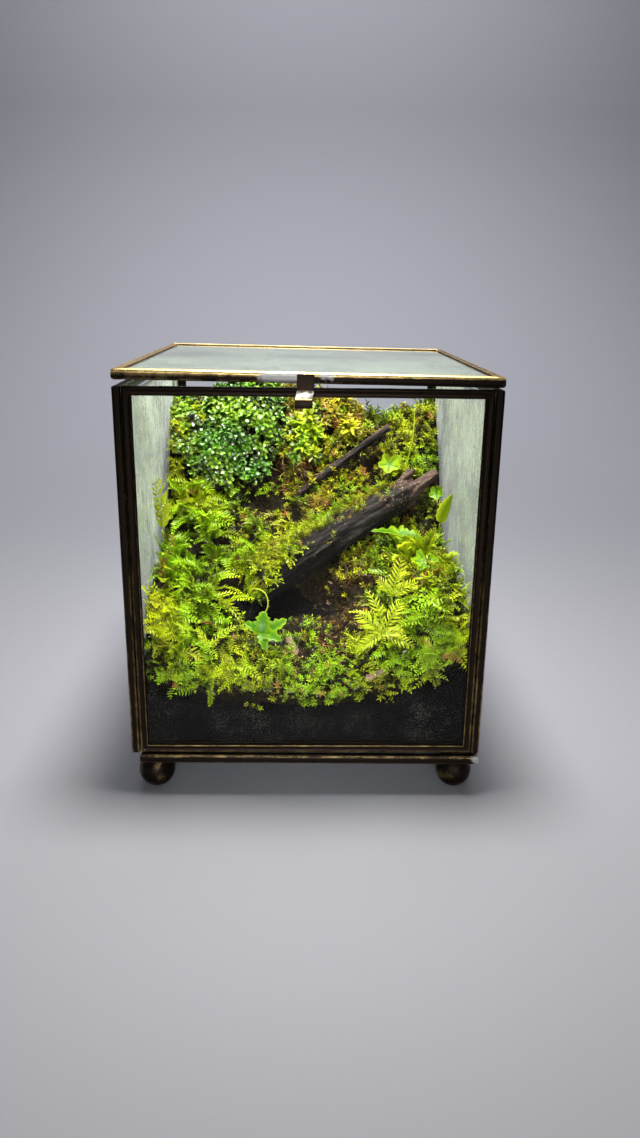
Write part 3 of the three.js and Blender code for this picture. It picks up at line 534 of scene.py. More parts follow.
def channel_section(face, thick, skin, lip):
    """The folded channel's outline, as (inward, through, how much gold it shows as rubbed wear and painted
    highlight), round from its front lip.
    """
    inner = 0.22 * face
    front = [
        (face, skin, 0.2), (face, 0.4 * skin, 0.7), (face - 0.25 * skin, 0.0, 1.0),
        (face - 0.10 * face, 0.0, 0.9), (face - 0.17 * face, 0.6 * lip, 0.35), (face - inner, lip, 0.10),
        (0.50 * face, lip, 0.08), (0.38 * face, 0.5 * lip, 0.2), (0.28 * thick, 0.0, 0.6),
        (0.15 * thick, 0.03 * thick, 0.9), (0.06 * thick, 0.11 * thick, 0.9), (0.0, 0.26 * thick, 0.5),
    ]
    edge = [(0.0, 0.38 * thick, 0.2), (0.01 * face, 0.5 * thick, 0.12), (0.0, 0.62 * thick, 0.2)]
    back = [(u, thick - v, wear) for u, v, wear in reversed(front)]
    hollow = [(0.22 * face, thick - skin, 0.0), (0.22 * face, skin, 0.0)]
    return front + edge + back + hollow


def ring_axes(node):
    """A flat ring's width, height and thickness directions, and its corner, as the CAD node lies."""
    low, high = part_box(node)
    size = high - low
    thin = min(range(3), key=lambda i: size[i])
    across, up = [(1, 2), (0, 2), (0, 1)][thin]
    return low, high, across, up, thin


def tilt_of(node):
    """How much a level ring rises along X, as a slope."""
    places = corners_of(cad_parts[node].data)
    return float(np.polyfit(places[:, 0], places[:, 2], 1)[0])


def channel_ring(node, name, body, rubbed, tinned, smears=()):
    """A hand-folded brass channel round a pane. rubbed gives how bright it is low down and high up; the lid's
    bright top is a painted highlight.
    """
    look = settings().brass
    low, high, across, up, thin = ring_axes(node)
    level = thin == 2
    slope = tilt_of(node) if level else 0.0
    thick = high[thin] - low[thin] - abs(slope) * (high[across] - low[across])
    centre = (low + high) / 2
    middle = (centre[across], centre[up])
    section = channel_section(CHANNEL_FACE, thick, CHANNEL_SKIN, look.lip)
    corners = [(low[across], low[up]), (high[across], low[up]), (high[across], high[up]),
               (low[across], high[up])]
    points, edges, solder = [], [], []
    for corner, following in zip(corners, corners[1:] + corners[:1]):
        stations = max(2, round(math.dist(corner, following) / (2.2 * MM)))
        for t, (inward, through, wear) in ((i / stations, row) for i in range(stations) for row in section):
            a, b = ([end[j] + math.copysign(inward, middle[j] - end[j]) for j in (0, 1)]
                    for end in (corner, following))
            spot = [0.0, 0.0, 0.0]
            spot[across], spot[up] = (a[j] + (b[j] - a[j]) * t for j in (0, 1))
            spot[thin] = centre[thin] - thick / 2 + through
            spot[2] += slope * (spot[0] - centre.x)
            point = Vector(spot)
            wave = noise.noise_vector(point * 160) * look.ripple
            wave[thin] *= 0.6
            near = min(math.dist((spot[across], spot[up]), c) for c in corners)
            lump = noise.noise(point * 420) * max(0.0, 1 - near / (7 * MM))
            out = Vector((0, 0, 0))
            out[thin] = (through / thick - 0.5) * 2
            point += wave + out * max(0.0, lump) * 0.25 * MM * (1 if wear < 0.9 else 0.3)
            points.append(point)
            height = (point.z - low.z) / (high.z - low.z)
            # Gold on the lips is rubbed wear and painted highlight; the level lid ring gets more gold on its
            # top face, a painted highlight of the light from above.
            wear_and_top_highlight = wear * (rubbed[0] + (rubbed[1] - rubbed[0]) * height)
            if level:
                wear_and_top_highlight += 0.5 * rubbed[1] * max(0.0, 2 * height - 1) ** 0.5
            edges.append(wear_and_top_highlight)
            tin = max(0.0, 1 - near / (6 * MM)) * tinned
            for smear, reach, amount in smears:
                tin = max(tin, amount * max(0.0, 1 - (point - smear).length / reach))
            solder.append(tin)
    faces = tube_faces(len(points) // len(section), len(section), ring=True)
    mesh = mesh_of(name, points, faces, {"edge": edges, "solder": solder})
    face_out(mesh)
    smooth_with_creases(mesh, 50)
    return finish_piece(link_piece(name, mesh, brass_material()), body, "brass", node)


def rounded_metal(node, name, body, radius, wear=0.35):
    """A copy of a small brass part with its edges rounded and gold along them, as rubbed wear and painted
    highlight, and paler grey tin on its upward faces, a painted highlight.
    """
    piece = link_piece(name, merged_copy(node, name), brass_material())
    soften = piece.modifiers.new("Edges", "BEVEL")
    soften.width = radius
    soften.segments = 3
    soften.limit_method = "ANGLE"
    soften.angle_limit = math.radians(38)
    soften.use_clamp_overlap = True
    mesh = applied(piece).data
    mesh.shade_smooth()
    normals = corner_normals(mesh)
    tilt = 1 - np.abs(normals).max(axis=1)
    # Gold on the rounded edges is wear and painted highlight; grey tin on the upward faces is a painted
    # highlight of the light from above.
    store(mesh, {"edge": (wear + 1.2 * tilt).clip(0, 1), "solder": (0.56 * normals[:, 2] ** 3).clip(0, 1)})
    smooth_with_creases(mesh, 40)
    return finish_piece(piece, body, "brass", node)


def ball_foot(node, name):
    """A cast brass ball, a little uneven, with a collar of solder where it meets the base."""
    low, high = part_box(node)
    centre = (low + high) / 2
    radius = (high.x - low.x) / 2
    middle = low.z + 0.484 * (high.z - low.z)
    points, edges, solder = [], [], []
    rings, sides = 28, 48
    for i in range(rings + 1):
        z = low.z + (high.z - low.z) * (1 - math.cos(math.pi * i / rings)) / 2
        r = math.sqrt(max(0.0, radius ** 2 - (z - middle) ** 2))
        for k in range(sides):
            angle = 2 * math.pi * k / sides
            point = Vector((centre.x + r * math.cos(angle), centre.y + r * math.sin(angle), z))
            dent = noise.noise(point * 330) * 0.06 * MM
            point.x -= abs(dent) * math.cos(angle)
            point.y -= abs(dent) * math.sin(angle)
            points.append(point)
            edges.append(0.22 + 0.25 * noise.noise(point * 240))
            solder.append(0.4 * max(0.0, 1 - (high.z - z) / (1.5 * MM)))
    faces = tube_faces(rings + 1, sides)
    faces += [tuple(reversed(range(sides))), tuple(range(rings * sides, (rings + 1) * sides))]
    mesh = mesh_of(name, points, faces, {"edge": edges, "solder": solder})
    smooth_with_creases(mesh, 60)
    return finish_piece(link_piece(name, mesh, brass_material()), CASE_BODY, "brass", node)


# The ground

class Ground:
    """The planting's surface, seen squarely from in front of the slope, on an even grid."""
    step = 1.0 * MM
    # At the front the planting is drawn back so far, over a slope of this length
    set_back = 2.2 * MM
    slope_length = 9 * MM

    def __init__(self):
        points, faces, self.face_owner = [], [], []
        self.patches = [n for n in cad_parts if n.startswith("moss_")]
        for index, node in enumerate(self.patches + ["soil"]):
            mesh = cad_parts[node].data
            start = len(points)
            points.extend(v.co.copy() for v in mesh.vertices)
            faces.extend([start + v for v in face.vertices] for face in mesh.polygons)
            self.face_owner.extend([index] * len(mesh.polygons))
        self.tree = BVHTree.FromPolygons(points, faces)
        inset = 0.3 * MM
        self.low = Vector((SOIL_LOW.x + inset, SOIL_LOW.y + inset, SOIL_LOW.z))
        self.high = Vector((SOIL_HIGH.x - inset, SOIL_HIGH.y - inset, SOIL_HIGH.z))
        self.base = Vector((0, self.low.y, SOIL_LOW.z + 5 * MM))
        top = Vector((0, self.high.y, SOIL_LOW.z + 97 * MM))
        self.columns = round((self.high.x - self.low.x) / self.step) + 1
        self.rows = round((self.base - top).length / self.step)
        self.build()

    def build(self):
        """Casts a ray at each grid place, fills the cracks, removes the spikes and shares out the patches."""
        far = 0.15
        depth = np.full((self.columns, self.rows), np.nan)
        owner = np.full((self.columns, self.rows), -1)
        for i, j in np.ndindex(depth.shape):
            hit, _, face, distance = self.tree.ray_cast(self.point(i, j, far), -SLOPE_OUT, 2 * far)
            if hit is not None and hit.y > self.low.y - 0.2 * MM:
                depth[i, j] = far - distance
                owner[i, j] = self.face_owner[face]
        self.covered = ~np.isnan(depth)
        for row in depth:
            gaps = np.isnan(row)
            row[gaps] = np.interp(np.flatnonzero(gaps), np.flatnonzero(~gaps), row[~gaps])
        self.depth = blurred(opened(closed(depth, 1), 2), 2)
        soil = len(self.patches)
        for _ in range(30):
            missing = (owner < 0) | (owner == soil)
            if not missing.any():
                break
            for shift in ((0, 1), (0, -1), (1, 0), (-1, 0)):
                other = shifted(owner, *shift)
                use = missing & (other >= 0) & (other != soil)
                owner[use] = other[use]
                missing &= ~use
        self.owner = self.ragged(owner)

    def ragged(self, owner):
        """The patches with borders that wander a few millimetres into each other."""
        result = owner.copy()
        for i, j in np.ndindex(owner.shape):
            stray = noise.noise_vector(Vector((i * 0.16, j * 0.16, 3.0))) * 5
            stray += noise.noise_vector(Vector((i * 0.5, j * 0.5, 9.0))) * 2.5
            a = min(max(i + round(stray.x), 0), self.columns - 1)
            b = min(max(j + round(stray.y), 0), self.rows - 1)
            result[i, j] = owner[a, b]
        return result

    def point(self, i, j, depth):
        """The place at a grid corner, so far out of the slope."""
        x = self.low.x + (self.high.x - self.low.x) * i / (self.columns - 1)
        return Vector((x, self.base.y, self.base.z)) + SLOPE_UP * self.step * j + SLOPE_OUT * depth


def shifted(grid, di, dj):
    """The grid moved by whole cells, its border repeated."""
    padded = np.pad(grid, 2, mode="edge")
    rows, columns = grid.shape
    return padded[2 + di:2 + di + rows, 2 + dj:2 + dj + columns]


def spread(grid, reach, pick):
    moves = [(i, j) for i in range(-reach, reach + 1) for j in range(-reach, reach + 1)]
    return pick([shifted(grid, i, j) for i, j in moves])


def opened(grid, reach):
    """The grid without anything that stands up narrower than the reach."""
    return spread(spread(grid, reach, lambda g: np.min(g, 0)), reach, lambda g: np.max(g, 0))


def closed(grid, reach):
    """The grid with every crack narrower than the reach filled."""
    return spread(spread(grid, reach, lambda g: np.max(g, 0)), reach, lambda g: np.min(g, 0))


def blurred(grid, rounds):
    for _ in range(rounds):
        grid = spread(grid, 1, lambda g: np.mean(g, 0))
    return grid


# Pockets in the moss, where bare ones show the near-black mat as painted shade, and mounds where the depth
# is negative: place on the ground, radius and depth in millimetres, and how bare each is
HOLLOWS = [
    ((-18.5, 24.5), 7.8, 8.5, 1.0), ((-9.6, 25.0), 5.5, 5.5, 1.0), ((-1.0, 34.0), 7.5, 5.0, 0.9),
    ((-18.5, 19.0), 3.5, 2.5, 0.7), ((11.0, 33.5), 7.0, 4.5, 0.7), ((-5.0, 27.0), 5.0, 2.5, 0.9),
    ((4.0, 27.0), 5.0, 2.0, 0.7), ((2.0, 17.0), 5.0, 1.6, 0.6), ((9.0, 21.0), 4.5, 1.8, 0.6),
    ((-22.0, 62.0), 4.0, 4.0, 1.0), ((-15.0, 61.0), 3.5, 4.0, 1.0), ((-45.5, 64.0), 2.6, 3.0, 1.0),
    ((-11.0, 70.0), 3.0, 4.0, 1.0), ((-43.0, 49.5), 4.8, 5.0, 1.0), ((-35.0, 41.0), 4.4, 4.5, 1.0),
    ((-27.0, 47.0), 3.4, 3.5, 0.9), ((-25.0, 30.0), 4.5, 1.0, 1.0),
    ((32.0, 16.5), 4.0, 3.0, 0.6), ((39.0, 67.0), 3.5, 3.0, 0.8),
    ((-8.0, 17.0), 3.0, 1.5, 0.7), ((-30.0, 20.0), 3.0, 3.0, 0.8), ((20.0, 36.0), 2.5, 1.5, 0.8),
    ((38.0, 36.0), 4.5, 2.0, 0.8), ((-36.0, 78.0), 2.5, 3.0, 0.8), ((22.0, 74.0), 3.0, 2.0, 0.6),
    ((-6.0, 86.0), 4.0, 3.0, 0.0), ((20.0, 90.0), 5.0, 4.5, 0.0), ((20.0, 101.0), 7.0, 4.5, 0.0),
    ((30.0, 90.0), 6.0, 6.0, 0.0), ((31.0, 101.0), 6.0, 6.0, 0.0), ((45.0, 98.0), 5.0, -4.0, 0.0),
]


def search_tree(node):
    """A CAD node's faces, ready for rays."""
    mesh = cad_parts[node].data
    return BVHTree.FromPolygons([v.co for v in mesh.vertices], [list(f.vertices) for f in mesh.polygons])


@functools.cache
def ground():
    """The ground, its corners and how thickly each is grown. It is worked out once."""
    land = Ground()
    woods = search_tree("driftwood_log"), search_tree("driftwood_twig")
    places = np.zeros((land.columns, land.rows, 3))
    growth = land.covered.astype(float)
    for i, j in np.ndindex(growth.shape):
        point = land.point(i, j, land.depth[i, j])
        swell = 1.7 * noise.noise(point * 95) + 1.1 * noise.noise(point * 230)
        swell += 0.5 * noise.noise(point * 520)
        x, y = point.x / MM, (point.y - ORIGIN.y) / MM
        lowered = (swell - 2.0 * min(1.0, max(0.0, (y - 84) / 6))) * MM
        for (hx, hy), radius, deep, bare in HOLLOWS:
            near = math.exp(-((x - hx) ** 2 + (y - hy) ** 2) / radius ** 2)
            lowered -= deep * near * MM
            growth[i, j] *= 1 - min(1.0, 2.0 * near) * bare
        point = land.point(i, j, land.depth[i, j] + lowered)
        # The front is drawn back into a slope behind the glass, so that its shoots have room
        front = (point.y - land.low.y) / land.slope_length
        point.y += land.set_back * min(1.0, max(0.0, 1 - front))
        point.y = min(max(point.y, land.low.y + land.set_back), land.high.y - 0.8 * MM)
        point.x *= 0.975
        for wood in woods:
            hit, _, _, distance = wood.ray_cast(point - SLOPE_OUT * 2 * MM, SLOPE_OUT, 14 * MM)
            if hit is not None and distance < 9 * MM:
                growth[i, j] = 0.0
        places[i, j] = point
    for row, covered in zip(places, land.covered):
        # Below the soil line the mat hangs down behind the soil's face; above the crest it turns down too
        hem, crest = np.flatnonzero(covered)[[0, -1]]
        row[:hem] = row[hem] + np.outer(np.arange(hem, 0, -1), (0, 0.3 * MM, -0.95 * MM))
        row[crest + 1:] = row[crest] - np.outer(np.arange(1, land.rows - crest), (0, 0, 0.5 * MM))
    return land, places, growth


def ground_faces(land, wanted=None):
    """The grid's squares, those that belong to one patch if one is wanted."""
    corners = (i * land.rows + j for i, j in np.ndindex(land.columns - 1, land.rows - 1)
               if wanted is None or land.owner[i, j] == wanted)
    return [(a, a + land.rows, a + land.rows + 1, a + 1) for a in corners]


# Shoots

class Foliage:
    """Gathers closed blades and stems into one mesh, in millimetres, growing up from the origin."""

    def __init__(self):
        self.points, self.faces, self.tips = [], [], []

    def add(self, points, faces, tips):
        start = len(self.points)
        self.points.extend(points)
        self.faces.extend(tuple(start + v for v in face) for face in faces)
        self.tips.extend(tips)

    def blade(self, root, along, up, length, width, cup=0.16, droop=0.1, widest=0.42, tips=(0.35, 1.0)):
        """A four-sided blade: a keel from root to tip and an edge across where it is widest."""
        along = along.normalized()
        side = along.cross(up)
        side = side.normalized() if side.length > 1e-6 else Vector((1, 0, 0))
        rise = side.cross(along)
        middle = root + along * widest * length + rise * cup * width
        tip = root + along * length - rise * droop * length
        self.add([root, middle + side * width / 2, tip, middle - side * width / 2],
                 [(0, 1, 3), (1, 2, 3), (0, 2, 1), (0, 3, 2)],
                 [tips[0], (tips[0] + tips[1]) / 2, tips[1], (tips[0] + tips[1]) / 2])

    def round_blade(self, root, along, up, length, width, dome=0.2, tips=(0.3, 1.0)):
        """A broader domed blade with six sides."""
        along = along.normalized()
        side = along.cross(up).normalized()
        rise = side.cross(along)
        points = [root,
                  root + along * 0.45 * length + side * width / 2,
                  root + along * 0.82 * length + side * width * 0.36,
                  root + along * length - rise * 0.12 * length,
                  root + along * 0.82 * length - side * width * 0.36,
                  root + along * 0.45 * length - side * width / 2,
                  root + along * 0.55 * length + rise * dome * width,
                  root + along * 0.5 * length - rise * 0.1 * width]
        top = [(6, k, (k + 1) % 6) for k in range(6)]
        under = [(7, (k + 1) % 6, k) for k in range(6)]
        share = [0.0, 0.5, 0.85, 1.0, 0.85, 0.5, 0.6, 0.4]
        self.add(points, top + under, [tips[0] + (tips[1] - tips[0]) * s for s in share])

    def stem(self, line, radius, tips=(0.0, 0.5), sides=3, taper=0.5):
        """A stem through the points of a line, ending in a point."""
        points, shares = [], []
        side = (line[1] - line[0]).orthogonal().normalized()
        for i, spot in enumerate(line[:-1]):
            along = (line[i + 1] - spot).normalized()
            side = (side - along * side.dot(along)).normalized()
            for k in range(sides):
                turn = Matrix.Rotation(2 * math.pi * k / sides, 3, along)
                points.append(spot + turn @ side * radius * (1 - taper * i / len(line)))
                shares.append(i / (len(line) - 1))
        points.append(line[-1])
        shares.append(1.0)
        last = len(points) - 1
        faces = [tuple(reversed(range(sides)))]
        for i in range(len(line) - 2):
            for k in range(sides):
                a, b = sides * i + k, sides * i + (k + 1) % sides
                faces += [(a, b, b + sides), (a, b + sides, a + sides)]
        for k in range(sides):
            faces.append((last - sides + k, last - sides + (k + 1) % sides, last))
        self.add(points, faces, [tips[0] + (tips[1] - tips[0]) * s for s in shares])

    def ribbon(self, line, widths, face, thick=0.14, fold=0.12, tips=(0.3, 1.0), midrib=None):
        """A thin blade along a line, of the given widths, pointed at both ends and folded at its midrib."""
        points, shares, last = [line[0]], [tips[0]], len(line) - 1
        for i in range(1, last):
            along = (line[i + 1] - line[i - 1]).normalized()
            side = along.cross(face).normalized()
            rise = side.cross(along)
            tone = tips[0] + (tips[1] - tips[0]) * i / last
            rib = tone if midrib is None else midrib
            half, raised = side * widths[i] / 2, rise * fold * widths[i]
            points += [line[i] + half + raised, line[i] + rise * thick / 2, line[i] - half + raised,
                       line[i] - rise * thick / 2]
            shares += [tone, rib, tone, rib]
        points.append(line[last])
        shares.append(tips[1])
        end = len(points) - 1
        faces = [(0, 1 + k, 1 + (k + 1) % 4) for k in range(4)]
        for i in range(last - 2):
            for k in range(4):
                a, b = 1 + 4 * i + k, 1 + 4 * i + (k + 1) % 4
                faces += [(a, a + 4, b + 4), (a, b + 4, b)]
        faces += [(end - 4 + k, end, end - 4 + (k + 1) % 4) for k in range(4)]
        self.add(points, faces, shares)

    def lobed(self, centre, face, radius, lobes, turn, cup=0.22, stalk=-math.pi / 2):
        """A round leaf cut into lobes, cupped, with sunk veins."""
        normal = face.normalized()
        across = normal.cross(UP).normalized()
        rise = across.cross(normal) * -1
        sides, rings = lobes * 9, (0.0, 0.3, 0.55, 0.78, 0.92, 1.0)
        points, shares = [], []
        for under in (0, 1):
            for ring in rings[1:]:
                for k in range(sides):
                    angle = 2 * math.pi * k / sides + turn
                    wave = abs(math.cos(lobes * (angle - turn) / 2))
                    small = 0.5 + 0.5 * math.cos(3 * lobes * (angle - turn))
                    cut = 1 - (0.34 * (1 - wave ** 0.7) + 0.07 * small) * ring ** 2
                    gap = abs((angle - stalk + math.pi) % (2 * math.pi) - math.pi)
                    cut *= 1 - 0.55 * math.exp(-(gap / 0.22) ** 2)
                    reach = radius * ring * cut
                    vein = math.exp(-((1 - wave) / 0.06) ** 2)
                    lift = cup * ring ** 2 - 0.05 * vein * ring + 0.05 * math.sin(5 * angle) * ring ** 3
                    spot = centre + (across * math.cos(angle) + rise * math.sin(angle)) * reach
                    points.append(spot + normal * (radius * lift - 0.16 * under * (1.2 - ring)))
                    shares.append(1 - 0.85 * vein * (1 - ring ** 3) - 0.25 * (1 - ring))
        top, base = len(points), len(points) + 1
        points += [centre, centre - normal * 0.2]
        shares += [0.2, 0.2]
        count = (len(rings) - 1) * sides
        faces = []
        for k in range(sides):
            after = (k + 1) % sides
            faces += [(top, k, after), (base, count + after, count + k)]
            for i in range(len(rings) - 2):
                a, b = i * sides + k, i * sides + after
                faces += [(a, a + sides, b + sides, b),
                          (count + a, count + b, count + b + sides, count + a + sides)]
            rim = (len(rings) - 2) * sides
            faces.append((rim + k, count + rim + k, count + rim + after, rim + after))
        self.add(points, faces, shares)

    def mesh(self, name):
        """The shoot as a mesh about the origin."""
        # Each corner's tip share is low at a shoot's foot and high at its tips; the finish paints the low end
        # in shade.
        return mesh_of(name, [p * MM for p in self.points], self.faces, {"tip": self.tips})

    def piece(self, name, material):
        """A plant drawn in the box's own frame, as a piece."""
        points = [place(*p) for p in self.points]
        mesh = mesh_of(name, points, self.faces, {"tip": self.tips, "shade": [0.6] * len(points)})
        face_out(mesh)
        smooth_with_creases(mesh, 60)
        return link_piece(name, mesh, material)


def outward(angle, rise):
    """A direction at an angle round the stem, rising from level by rise, in radians."""
    return Vector((math.cos(angle) * math.cos(rise), math.sin(angle) * math.cos(rise), math.sin(rise)))


UP = Vector((0, 0, 1))
GOLDEN = math.pi * (3 - math.sqrt(5))


def rosette(draw):
    """A rosette of round glossy leaves on a short stem."""
    shoot = Foliage()
    top = Vector((draw.uniform(-0.4, 0.4), draw.uniform(-0.4, 0.4), draw.uniform(1.6, 2.4)))
    shoot.stem([Vector((0, 0, -1.2)), top], 0.16)
    leaves = 8
    for k in range(leaves):
        share = k / (leaves - 1)
        rise = 0.1 + 1.0 * share + draw.uniform(-0.15, 0.15)
        direction = outward(GOLDEN * k + draw.uniform(-0.2, 0.2), rise)
        length = (1.75 - 0.8 * share) * draw.uniform(0.85, 1.15)
        root = top - UP * 0.5 * (1 - share)
        shoot.round_blade(root, direction, UP, length, 0.62 * length, tips=(0.15, 0.75 + 0.25 * share))
    return shoot


def star(draw, leaves=13, height=3.2, leaf=1.25, spread_out=0.55):
    """An upright shoot set all round with narrow leaves, and a star of them on top."""
    shoot = Foliage()
    lean = Vector((draw.uniform(-0.5, 0.5), draw.uniform(-0.5, 0.5), 0)) * 0.35
    top = UP * height + lean * height
    shoot.stem([Vector((0, 0, -1.2)), top], 0.11, (0.0, 0.6))
    for k in range(leaves):
        share = k / (leaves - 1)
        root = top * (0.28 + 0.72 * share)
        rise = spread_out + 0.55 * share ** 2 + draw.uniform(-0.2, 0.2)
        length = leaf * (1.0 - 0.15 * share) * draw.uniform(0.8, 1.2)
        shoot.blade(root, outward(GOLDEN * k, rise), UP, length, 0.30 * length, droop=0.22,
                    tips=(0.35 * share, 0.45 + 0.55 * share))
    return shoot


def spray(draw, pairs=8, length=6.0, leaf=1.35):
    """A feathery shoot that arches over, with leaves in two rows."""
    shoot = Foliage()
    bend = draw.uniform(0.5, 1.1)
    sway = draw.uniform(-0.3, 0.3)
    spots = []
    spot, heading = Vector((0, 0, -1.0)), 0.15
    for _ in range(pairs + 2):
        spots.append(spot)
        direction = Vector((sway * 0.4, -math.sin(heading), math.cos(heading))).normalized()
        spot = spot + direction * (length + 1.0) / (pairs + 1)
        heading += 1.5 * bend / pairs
    shoot.stem([spots[0], spots[len(spots) // 2], spots[-1]], 0.13, (0.0, 0.9))
    for k in range(1, len(spots)):
        along = (spots[k] - spots[k - 1]).normalized()
        side = Vector((1, 0, 0))
        up = side.cross(along)
        share = (k - 1) / pairs
        size = leaf * (0.65 + 0.7 * math.sin(math.pi * min(1.0, 0.15 + 0.85 * share)) ** 0.7)
        size *= draw.uniform(0.85, 1.15)
        size *= 1.0 - 0.45 * share
        for hand in (-1, 1):
            direction = along * 0.75 + side * hand + up * draw.uniform(0.0, 0.35)
            shoot.blade(spots[k], direction, up, size, 0.34 * size, droop=0.18,
                        tips=(0.3 + 0.4 * share, 0.55 + 0.45 * share))
    tip_way = spots[-1] - spots[-2]
    shoot.blade(spots[-1] - tip_way * 0.2, tip_way, Vector((0, -1, 0.4)), 1.0, 0.3, tips=(0.7, 1.0))
    return shoot


def wisp(draw, count=3, length=3.0):
    """A few thin dry stalks leaning apart."""
    shoot = Foliage()
    for _ in range(count):
        direction = outward(draw.uniform(0, 2 * math.pi), draw.uniform(0.1, 1.2))
        reach = length * draw.uniform(0.6, 1.3)
        middle = direction * reach * 0.5 + UP * draw.uniform(-0.2, 0.5)
        line = [Vector((0, 0, -0.4)), middle, direction * reach]
        shoot.stem(line, 0.13 * draw.uniform(0.7, 1.4), (0.1, 1.0))
    return shoot


def flake(draw):
    """A broken scrap of leaf or bark, lying nearly flat."""
    shoot = Foliage()
    for _ in range(2):
        direction = outward(draw.uniform(0, 2 * math.pi), draw.uniform(-0.1, 0.5))
        shoot.blade(direction * -0.4, direction, UP, draw.uniform(1.2, 2.4), draw.uniform(0.5, 1.0), cup=0.2,
                    tips=(0.2, draw.uniform(0.4, 1.0)))
    return shoot


# Each kind's builder and the numbers that it is given
SHOOTS = {
    "plume": (spray, 11, 9.0, 1.9), "spray": (spray,), "short_spray": (spray, 6, 4.0, 1.1),
    "needles": (star, 17, 3.4, 3.0, 0.3), "star": (star,), "fine": (star, 9, 2.0, 0.85, 0.45),
    "rosette": (rosette,), "wisp": (wisp,), "flake": (flake,),
}


@functools.cache
def shoot_set(kinds):
    """A collection, outside the scene, of a few different shoots of each kind."""
    group = bpy.data.collections.new("shoots_" + "_".join(kinds))
    draw = random.Random("-".join(kinds))
    for index, kind in enumerate(kinds):
        for turn in range(3):
            build, *values = SHOOTS[kind]
            mesh = build(draw, *values).mesh(f"{kind}_{index}_{turn}")
            group.objects.link(bpy.data.objects.new(mesh.name, mesh))
    return group


@made_once("node_groups", "Shoots over the ground")
def growth_tree(name):
    """Geometry nodes that grow shoots over a surface, thick or thin by its growth attribute."""
    tree, given, result = new_group(name, "GeometryNodeTree", [
        ("Geometry", "Geometry", None), ("Shoots", "Collection", None), ("Density", "Float", 1e6),
        ("Smallest", "Float", 0.7), ("Largest", "Float", 1.3), ("Upward", "Float", 0.4),
        ("Lean", "Float", 0.4), ("Clumps", "Float", 200.0), ("Gaps", "Float", 0.38), ("Seed", "Int", 1),
        ("Material", "Material", None)],
        [("Geometry", "Geometry")])
    take = given.outputs
    seed, gaps = take["Seed"], take["Gaps"]
    position = made(tree, "GeometryNodeInputPosition")
    clump = made(tree, "ShaderNodeTexNoise", {
        "Vector": position, "Scale": take["Clumps"], "Detail": 2.0}, out="Fac")
    grown = made(tree, "GeometryNodeInputNamedAttribute", {"Name": "growth"}, out="Attribute",
                 data_type="FLOAT")
    thick = between(tree, clump, gaps, plus(tree, gaps, 0.06))
    scatter = add_node(tree, "GeometryNodeDistributePointsOnFaces", {
        "Mesh": take["Geometry"], "Density": times(tree, times(tree, take["Density"], thick), grown),
        "Seed": seed}, distribute_method="RANDOM")
    stray = made(tree, "FunctionNodeRandomValue", {
        "Min": (-1.0, -1.0, -1.0), "Max": (1.0, 1.0, 1.0), "Seed": seed}, data_type="FLOAT_VECTOR")
    lean = vector_maths(tree, "SCALE", {"Vector": stray, "Scale": take["Lean"]})
    rise = vector_maths(tree, "SCALE", {0: (0.0, -0.25, 1.0), "Scale": take["Upward"]})
    heading = vector_maths(tree, "ADD", {0: scatter.outputs["Normal"], 1: rise})
    heading = vector_maths(tree, "ADD", {0: heading, 1: lean})
    aim = made(tree, "FunctionNodeAlignRotationToVector", {"Vector": heading}, axis="Z")
    forward = made(tree, "FunctionNodeAlignRotationToVector", {
        "Rotation": aim, "Vector": (0.0, 1.0, 0.3)}, axis="Y", pivot_axis="Z")
    twist = made(tree, "FunctionNodeAxisAngleToRotation", {
        "Axis": (0.0, 0.0, 1.0), "Angle": drawn(tree, -1.5, 1.5, seed, 7.0)})
    turned = made(tree, "FunctionNodeRotateRotation", {
        "Rotation": forward, "Rotate By": twist}, rotation_space="LOCAL")
    size = times(tree, drawn(tree, take["Smallest"], take["Largest"], seed, 3.0),
                 between(tree, clump, gaps, 0.72, 0.62, 1.45))
    shoots = made(tree, "GeometryNodeCollectionInfo", {
        "Collection": take["Shoots"], "Separate Children": True, "Reset Children": True})
    planted = made(tree, "GeometryNodeInstanceOnPoints", {
        "Points": scatter.outputs["Points"], "Instance": shoots, "Pick Instance": True, "Rotation": turned,
        "Scale": size})
    toned = made(tree, "GeometryNodeStoreNamedAttribute", {
        "Geometry": planted, "Name": "shade", "Value": drawn(tree, 0.0, 1.0, seed, 11.0)},
        data_type="FLOAT", domain="INSTANCE")
    end_tree(tree, result, toned, take["Material"])
    return tree


def with_nodes(host, tree, values):
    """The host's mesh as a node tree makes it, its inputs set by their names."""
    modifier = host.modifiers.new("Nodes", "NODES")
    modifier.node_group = tree
    for item in tree.interface.items_tree:
        if item.item_type == "SOCKET" and item.in_out == "INPUT" and item.name in values:
            modifier[item.identifier] = values[item.name]
    return applied(host)


def kept_inside(mesh):
    """Folds a mesh's corners back, ever more tightly, as they come near the inside of the glass."""
    land = ground()[0]
    places = corners_of(mesh)
    room = 2.4 * MM
    for axis in (0, 1):
        for hand, limit in ((1, land.low[axis]), (-1, land.high[axis])):
            inside = (places[:, axis] - limit) * hand
            folded = room * np.exp(np.minimum(inside, room) / room - 1)
            places[:, axis] = np.where(inside < room, limit + hand * folded, places[:, axis])
    move_corners(mesh, places)


def grow(name, mesh, kinds, density, small, large, upward, lean, clumps, gaps, tone, seed):
    """Shoots of some kinds grown over a mesh, density being how many stand on a square millimetre."""
    share = settings().moss.density * 1.0
    return with_nodes(link_piece(name, mesh), growth_tree(), {
        "Shoots": shoot_set(kinds), "Density": density * share / MM ** 2, "Smallest": small, "Largest": large,
        "Upward": upward, "Lean": lean, "Clumps": float(clumps), "Gaps": gaps, "Seed": seed,
        "Material": moss_material(tone)})


